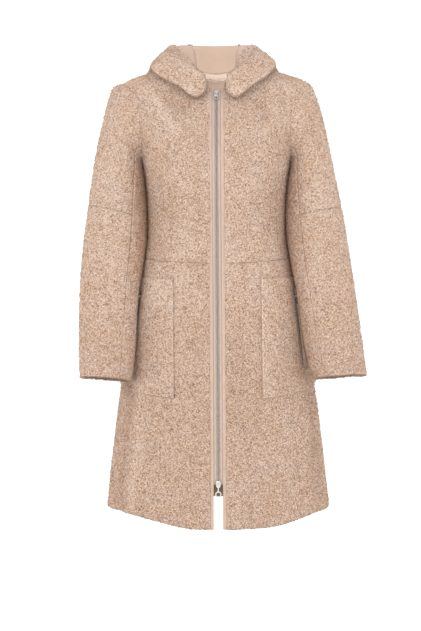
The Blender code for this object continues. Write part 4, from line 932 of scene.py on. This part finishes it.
# %% Helpers that follow a border and lay a piping on it
def border_line(panel, side):
    """The numbers, in order, of the points where a panel's inside meets one of its narrow edges."""
    shared = set(np.intersect1d(panel["inside"], panel["edges"][side]).tolist())
    joined = {point: set() for point in shared}
    for triangle in panel["inside"].tolist():
        for a, b in zip(triangle, triangle[1:] + triangle[:1]):
            if a in shared and b in shared:
                joined[a].add(b)
                joined[b].add(a)
    line = [min(shared, key=lambda point: (len(joined[point]), point))]
    while True:
        ahead = joined[line[-1]] - set(line[-3:])
        if not ahead or len(line) > len(shared):
            return line
        line.append(min(ahead))


PIPE_SIDES = 8


def lay_pipe(line, radius):
    """A closed round tube along a line, as points and triangles."""
    along = unit(np.gradient(line, axis=0))
    across = unit(np.cross(along, np.array([0.3, 0.2, 1.0])))
    third = np.cross(along, across)
    turns = np.linspace(0, 2 * math.pi, PIPE_SIDES + 1)[:-1]
    ring = np.stack([across * math.cos(t) + third * math.sin(t) for t in turns], axis=1)
    size = np.full(len(line), radius)
    size[[0, -1]] *= 0.05
    places = (line[:, None] + ring * size[:, None, None]).reshape(-1, 3)
    index = np.arange(len(places)).reshape(len(line), PIPE_SIDES)
    a, b = index[:-1], np.roll(index, -1, axis=1)[:-1]
    c, d = np.roll(index, -1, axis=1)[1:], index[1:]
    faces = [np.stack([a, b, c], axis=-1).reshape(-1, 3), np.stack([a, c, d], axis=-1).reshape(-1, 3)]
    for end, step in ((index[0][::-1], 1), (index[-1], 1)):
        faces.append(np.stack([np.full(PIPE_SIDES - 2, end[0]), end[1:-1], end[2:]], axis=-1))
    return places, np.concatenate(faces)


# %% Lay the piping
PIPE_RADIUS, PIPE_SHOWN, PIPE_ENDS = 0.0010, 0.2, 3
inwards = point_normals(dressed["hood_gusset"]["points"], dressed["hood_gusset"]["inside"])
for side in (0, 1):
    order = border_line(dressed["hood_gusset"], side)[PIPE_ENDS:-PIPE_ENDS]
    line = dressed["hood_gusset"]["points"][order] + inwards[order] * PIPE_RADIUS * PIPE_SHOWN
    piping = mesh_object(f"hood_seam_piping_{side}", *lay_pipe(line, PIPE_RADIUS), pale_binding)
    wear(piping)
    on_sheet["hood_gusset"].append(piping)
    print("piping points", len(line), np.round(line[0], 3), np.round(line[-1], 3))

# %% [markdown]
# ## Strips of suede and tape
#
# The facing strips beside the zip, the bindings of the hood and the welts of the pockets are
# folded suede. Their solids are plain bars, so a softer crease rounds them into folded strips.
# The zip's tapes stay flat, and their lower ends get painted shade, a dark brown below the lower slider.


# %% Helper that rounds a strip
def dress_strip(name, node, material, crease, levels=2, bumps=0.0, widened=0.0):
    """A strip with softened edges and, for suede, a slightly uneven surface."""
    cells = four_sided_wall(node)
    layer = cells.edges.layers.float["crease_edge"]
    for edge in cells.edges:
        edge[layer] *= crease
    fine = smoothed_wall(cells, levels)
    points = read_points(fine)
    starts, totals, corners, sides = faces_of(fine)
    if node.startswith("hood"):
        points = raised_corners(points)
        write_points(fine, points)
    if widened:
        middle = points[:, 0].mean()
        points[:, 0] += np.sign(points[:, 0] - middle) * widened
        write_points(fine, points)
    if bumps:
        normals = point_normals(points, triangles_of(starts, totals, corners, sides >= 0))
        points += normals * (bumps * wandering_noise(points, 0.008, 3))[:, None]
        write_points(fine, points)
    fine.materials.clear()
    fine.materials.append(material)
    fine.polygons.foreach_set("material_index", np.zeros(len(sides), np.int32))
    # painted shade: the tape's faces below the set height take the dark brown material
    if node.startswith("zip_tape"):
        fine.materials.append(painted_shade_tape_end)
        for face in fine.polygons:
            face.material_index = 1 if face.center.z < PAINTED_SHADE_TOP else 0
    fine.polygons.foreach_set("use_smooth", np.ones(len(sides), bool))
    made = bpy.data.objects.new(name, fine)
    scene.collection.objects.link(made)
    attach(made, "coat")
    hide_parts(node)
    return made


# %% Dress the strips
# painted shade: zip tape below this height is dark brown
PAINTED_SHADE_TOP = -0.846
# each: its name here, its node, material, crease, levels, unevenness, widening
STRIPS = [
    ("zip_facing_strip", "zip_binding", facing_suede, 0.75, 2, 0.00015, 0.0006),
    ("hood_rim_strip", "hood_binding", facing_suede, 0.7, 2, 0.00015),
    ("pocket_slot_welt", "pocket_welt", facing_suede, 0.7, 2, 0.0001),
    ("front_zip_tape", "zip_tape", zip_tape, 0.95, 1, 0.0, 0.0006),
    ("pocket_zip_tape_front", "pocket_tape_front", zip_tape, 0.95, 1),
    ("pocket_zip_tape_back", "pocket_tape_back", zip_tape, 0.95, 1),
]
trims = {}
for side in ("left", "right"):
    for name, node, *form in STRIPS:
        trims[f"{node}_{side}"] = dress_strip(f"{name}_{side}", f"{node}_{side}", *form)
trims["neck_tape"] = dress_strip("back_neck_tape", "neck_tape", pale_binding, 0.8, 2, 0.0001)
trims["hanger_loop"] = dress_strip("hanger_loop_strip", "hanger_loop", facing_suede, 0.7, 2)
print("strips:", len(trims))

# %% [markdown]
# ## Coils and stitches
#
# A spiral zip's teeth are turns of thick thread that hook into each other along the middle. Each
# turn is a small rounded bar laid across its strip. Stitches are the same kind of bar laid along
# a strip. Both need to know where a strip runs, so the strip's solid is cut at many heights, and
# each cut gives the middle, the width's direction and the side that faces out.


# %% Helper that finds where a strip runs
def strip_run(node, spacing):
    """An upright strip cut at even heights: middles, width and outward directions, half widths and depths."""
    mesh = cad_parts[node].data
    points = read_points(mesh)
    ends = np.zeros(len(mesh.edges) * 2, np.int32)
    mesh.edges.foreach_get("vertices", ends)
    low, high = (points[ends.reshape(-1, 2)[:, i]] for i in range(2))
    swap = low[:, 2] > high[:, 2]
    low[swap], high[swap] = high[swap], low[swap].copy()
    bottom, top = points[:, 2].min(), points[:, 2].max()
    heights = np.arange(bottom + spacing, top - spacing / 2, spacing)
    rows = []
    for z in heights:
        cut = (low[:, 2] < z) & (high[:, 2] > z)
        share = ((z - low[cut, 2]) / (high[cut, 2] - low[cut, 2]))[:, None]
        ring = (low[cut] + share * (high[cut] - low[cut]))[:, :2]
        middle = ring.mean(axis=0)
        axes = np.linalg.svd(ring - middle)[2]
        wide = axes[0] * np.sign(axes[0][0] or 1)
        out = np.array([-wide[1], wide[0]])
        out *= -np.sign(out[1] or 1)
        spans = [(ring - middle) @ axis for axis in (wide, out)]
        halves = [(span.max() - span.min()) / 2 for span in spans]
        centre = middle + sum(axis * (span.max() + span.min()) / 2 for axis, span in zip((wide, out), spans))
        rows.append([*centre, z, *wide, 0, *out, 0, *halves])
    rows = np.array(rows)
    return rows[:, 0:3], rows[:, 3:6], rows[:, 6:9], rows[:, 9:10], rows[:, 10:11]


# %% Helper that lays rounded bars
BAR = np.array(
    [[0, 2, 1], [0, 3, 2], [0, 4, 3], [0, 1, 4]]
    + [[k + 1, (k + 1) % 4 + 1, (k + 1) % 4 + 5] for k in range(4)]
    + [[k + 1, (k + 1) % 4 + 5, k + 5] for k in range(4)]
    + [[9, 5, 6], [9, 6, 7], [9, 7, 8], [9, 8, 5]]
)


def lay_bars(middles, along, across, out, half_length, half_width, half_height):
    """Closed bars with pointed ends, as points and triangles."""
    rows = [middles - along * half_length]
    for shift in (-0.62, 0.62):
        for a, b in ((-1, 0), (0, 1), (1, 0), (0, -1)):
            corner = across * half_width * a + out * half_height * b
            rows.append(middles + along * half_length * shift + corner)
    rows.append(middles + along * half_length)
    places = np.stack(rows, axis=1).reshape(-1, 3)
    faces = (np.arange(len(middles))[:, None, None] * 10 + BAR[None]).reshape(-1, 3)
    return places, faces


def stack_meshes(*parts):
    """Several (points, triangles) put into one."""
    places, faces, count = [], [], 0
    for points, triangles in parts:
        places.append(points)
        faces.append(triangles + count)
        count += len(points)
    return np.concatenate(places), np.concatenate(faces)


# %% The zips' coils
COIL_PITCH, COIL_REACH, TURN_WIDTH, TURN_HEIGHT = 0.0013, 0.0004, 0.00052, 0.0003


def lay_coil(name, node, shift, towards):
    """The turns of one side of a zip, over a thin core strip."""
    middle, wide, out, half_width, half_depth = strip_run(node, COIL_PITCH)
    along = unit(np.gradient(middle, axis=0))
    lean = unit(wide + 0.25 * along)
    places = middle + along * shift * COIL_PITCH + wide * towards * COIL_REACH + out * (half_depth * 0.55)
    turn_height = half_depth * 0.55 + TURN_HEIGHT
    bars = lay_bars(places, lean, along, out, half_width * 1.02, TURN_WIDTH, turn_height)
    core = lay_bars(middle, along, wide, out, COIL_PITCH * 1.4, half_width * 0.9, half_depth * 0.8)
    coil = mesh_object(name, *stack_meshes(core, bars), zip_teeth)
    wear(coil)
    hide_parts(node)
    return coil


coils = {}
for side, shift, towards in (("left", 0.0, -1), ("right", 0.5, 1)):
    coils["zip_chain_" + side] = lay_coil("front_zip_coil_" + side, "zip_chain_" + side, shift, towards)
    coils["pocket_chain_" + side] = lay_coil("pocket_zip_coil_" + side, "pocket_chain_" + side, 0.0, 0)
print("coils:", {name: len(coil.data.polygons) for name, coil in coils.items()})

# %% Stitches along the facing strips
STITCH_PITCH, STITCH_LENGTH, STITCH_WIDTH, STITCH_SUNK = 0.0034, 0.0024, 0.00032, 0.0001
stitched = []
for side in ("left", "right"):
    middle, wide, out, half_width, half_depth = strip_run("zip_binding_" + side, STITCH_PITCH)
    along = unit(np.gradient(middle, axis=0))
    places = middle + out * (half_depth - STITCH_SUNK)
    row = lay_bars(places, along, wide, out, STITCH_LENGTH / 2, STITCH_WIDTH, STITCH_WIDTH)
    stitches = mesh_object("zip_facing_stitches_" + side, *row, sewing_thread)
    wear(stitches)
    stitched.append(stitches)
print("stitches laid:", sum(len(row.data.polygons) // 16 for row in stitched))

# %% [markdown]
# ## Plated sliders and pulls
#
# The metal keeps its solids' shape. A small bevel takes the sharpness off every edge, as plating
# does, and catches a line of light. The broad faces are plain bright plating with rubbed places.
# On the zip's sliders and pulls the narrow sides get a darker copy of the metal, painted shade
# that draws the outline of each; the pockets' sliders and pulls stay bright all over.

# %% Dress the metal
SLIDERS = ("zip_top_slider", "zip_bottom_slider", "pocket_slider_left", "pocket_slider_right")
METAL = {slider: "coat" for slider in SLIDERS} | {
    "zip_top_pull": "zip_top_pull_body",
    "zip_bottom_pull": "zip_bottom_pull_body",
    "pocket_pull_left": "pocket_left_pull_body",
    "pocket_pull_right": "pocket_right_pull_body",
}
FLAT_LIMIT = 0.7
BEVEL_WIDTH, BEVEL_FROM = 0.00022, math.radians(32)
for node, body in METAL.items():
    cells = bmesh.new()
    cells.from_mesh(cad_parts[node].data)
    bmesh.ops.remove_doubles(cells, verts=cells.verts, dist=1e-6)
    bmesh.ops.dissolve_limit(cells, angle_limit=math.radians(4), verts=cells.verts, edges=cells.edges)
    mesh = bpy.data.meshes.new(node + "_metal")
    cells.to_mesh(mesh)
    cells.free()
    mesh.materials.clear()
    for material in (bright_nickel, painted_shade_nickel):
        mesh.materials.append(material)
    places = read_points(mesh)
    thin = np.linalg.svd(places - places.mean(axis=0))[2][2]
    # painted shade: on the zip's sliders and pulls, faces that turn away from the broad face take the darker
    # metal
    for face in mesh.polygons:
        narrow = abs(np.dot(face.normal, thin)) < FLAT_LIMIT
        face.material_index = int(narrow and node.startswith("zip"))
    made = bpy.data.objects.new(node + "_metal", mesh)
    scene.collection.objects.link(made)
    bevel = made.modifiers.new("softened edges", "BEVEL")
    bevel.width = BEVEL_WIDTH
    bevel.segments = 2
    bevel.limit_method = "ANGLE"
    bevel.angle_limit = BEVEL_FROM
    mesh.polygons.foreach_set("use_smooth", np.ones(len(mesh.polygons), bool))
    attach(made, body)
    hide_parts(node)
print("metal pieces:", len(METAL))

# %% [markdown]
# ## The pieces that go with each cloth
#
# Each panel's list gathers the small pieces that go with it, such as strips, coils, stitches and
# piping, and the names of the pieces that each panel hangs from are looked up.

for side in ("left", "right"):
    on_sheet["front_skirt_" + side] += [trims["zip_binding_" + side], trims["zip_tape_" + side]]
    on_sheet["front_skirt_" + side].append(coils["zip_chain_" + side])
    on_sheet["hood_" + side].append(trims["hood_binding_" + side])
    on_sheet["pocket_" + side] += [trims["pocket_welt_" + side], coils["pocket_chain_" + side]]
    on_sheet["pocket_" + side] += [trims[f"pocket_tape_{row}_{side}"] for row in ("front", "back")]
for stitches, side in zip(stitched, ("left", "right")):
    on_sheet["front_skirt_" + side].append(stitches)
names = {node: dressed[node]["object"].name for node in PANELS}
names["neck_tape"] = trims["neck_tape"].name
for node, (flat, area, held, rests) in PANELS.items():
    rests = [names[other] for other in rests]
print("sheets:", len(PANELS) + 1)

# %% [markdown]
# ## A plain, bright studio
#
# The photograph is a cut-out on white, with light from all round and a little more from the front
# and above. A round, seamless bowl of pale paper stands in for the studio, so the coat looks the
# same way from every side. Large soft lights and a bright sky leave only gentle shade.

# %% Floor, lights and sky
FLOOR_HEIGHT = -1.42
BOWL_RADIUS, BEND, WALL_TOP = 9.0, 2.5, 7.0
SHADE_INNER, SHADE_OUTER = 0.25, 1.0

outline = [(0.001, FLOOR_HEIGHT)]
for turn in np.linspace(0, math.pi / 2, 13):
    outline.append((BOWL_RADIUS - BEND * (1 - math.sin(turn)), FLOOR_HEIGHT + BEND * (1 - math.cos(turn))))
outline.append((BOWL_RADIUS, WALL_TOP))
turns = np.linspace(0, 2 * math.pi, 97)[:-1]
ring = np.array([[(r * math.cos(t), r * math.sin(t), z) for t in turns] for r, z in outline])
index = np.arange(ring.shape[0] * ring.shape[1]).reshape(ring.shape[:2])
ahead = np.roll(index, -1, 1)
quads = np.stack([index[:-1], ahead[:-1], ahead[1:], index[1:]], axis=-1).reshape(-1, 4)
paper, tree, shader, place = start_material("pale_paper", 0.9, specular=0.1)
fleck = add_node(tree, "ShaderNodeTexNoise", {"Vector": place, "Scale": 3.0})
flecked = mixed_colour(tree, fleck.outputs[0], (0.34, 0.34, 0.34, 1), (0.38, 0.38, 0.38, 1))
tree.links.new(flecked, shader.inputs["Base Color"])
parts = add_node(tree, "ShaderNodeSeparateXYZ", {0: place})
level = add_node(tree, "ShaderNodeCombineXYZ", {0: parts.outputs[0], 1: parts.outputs[1]})
away = add_node(tree, "ShaderNodeVectorMath", {0: level.outputs[0]}, operation="LENGTH").outputs["Value"]
# painted shadow: the paper's glow fades to grey near the middle, under the coat
shadow = stretched(tree, away, SHADE_INNER, SHADE_OUTER)
glow = mixed_colour(tree, shadow, (0.25, 0.24, 0.23, 1), (1, 1, 1, 1))
tree.links.new(glow, shader.inputs["Emission Color"])
shader.inputs["Emission Strength"].default_value = 0.98
floor = mesh_object("studio_floor", ring.reshape(-1, 3), quads, paper)
floor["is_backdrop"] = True

sky = bpy.data.worlds.new("studio_sky")
sky.use_nodes = True
sky.node_tree.nodes["Background"].inputs[0].default_value = (1.0, 0.99, 0.98, 1)
sky.node_tree.nodes["Background"].inputs[1].default_value = 0.72
scene.world = sky


def soft_light(name, place, aim, size, power):
    """A large square lamp turned towards a point."""
    lamp = bpy.data.lights.new(name, "AREA")
    lamp.shape = "SQUARE"
    lamp.size = size
    lamp.energy = power
    made = bpy.data.objects.new(name, lamp)
    made.location = place
    made.rotation_euler = (Vector(aim) - Vector(place)).to_track_quat("-Z", "Y").to_euler()
    scene.collection.objects.link(made)
    return made


soft_light("front_lamp", (-1.6, -3.4, 1.6), (0, 0, -0.45), 2.4, 27)
soft_light("side_lamp", (2.8, -2.2, 0.8), (0, 0, -0.45), 2.0, 6)
soft_light("top_lamp", (0.2, 0.6, 3.0), (0, 0, -0.3), 2.4, 12)
soft_light("neck_lamp", (0, -0.02, -0.062), (0, 0.08, -0.03), 0.05, 0.08)
scene.view_settings.view_transform = "Standard"
print("studio ready")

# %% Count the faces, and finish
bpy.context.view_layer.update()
faces = sum(len(piece.data.polygons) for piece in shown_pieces() if piece.type == "MESH")
print("faces in all:", faces)
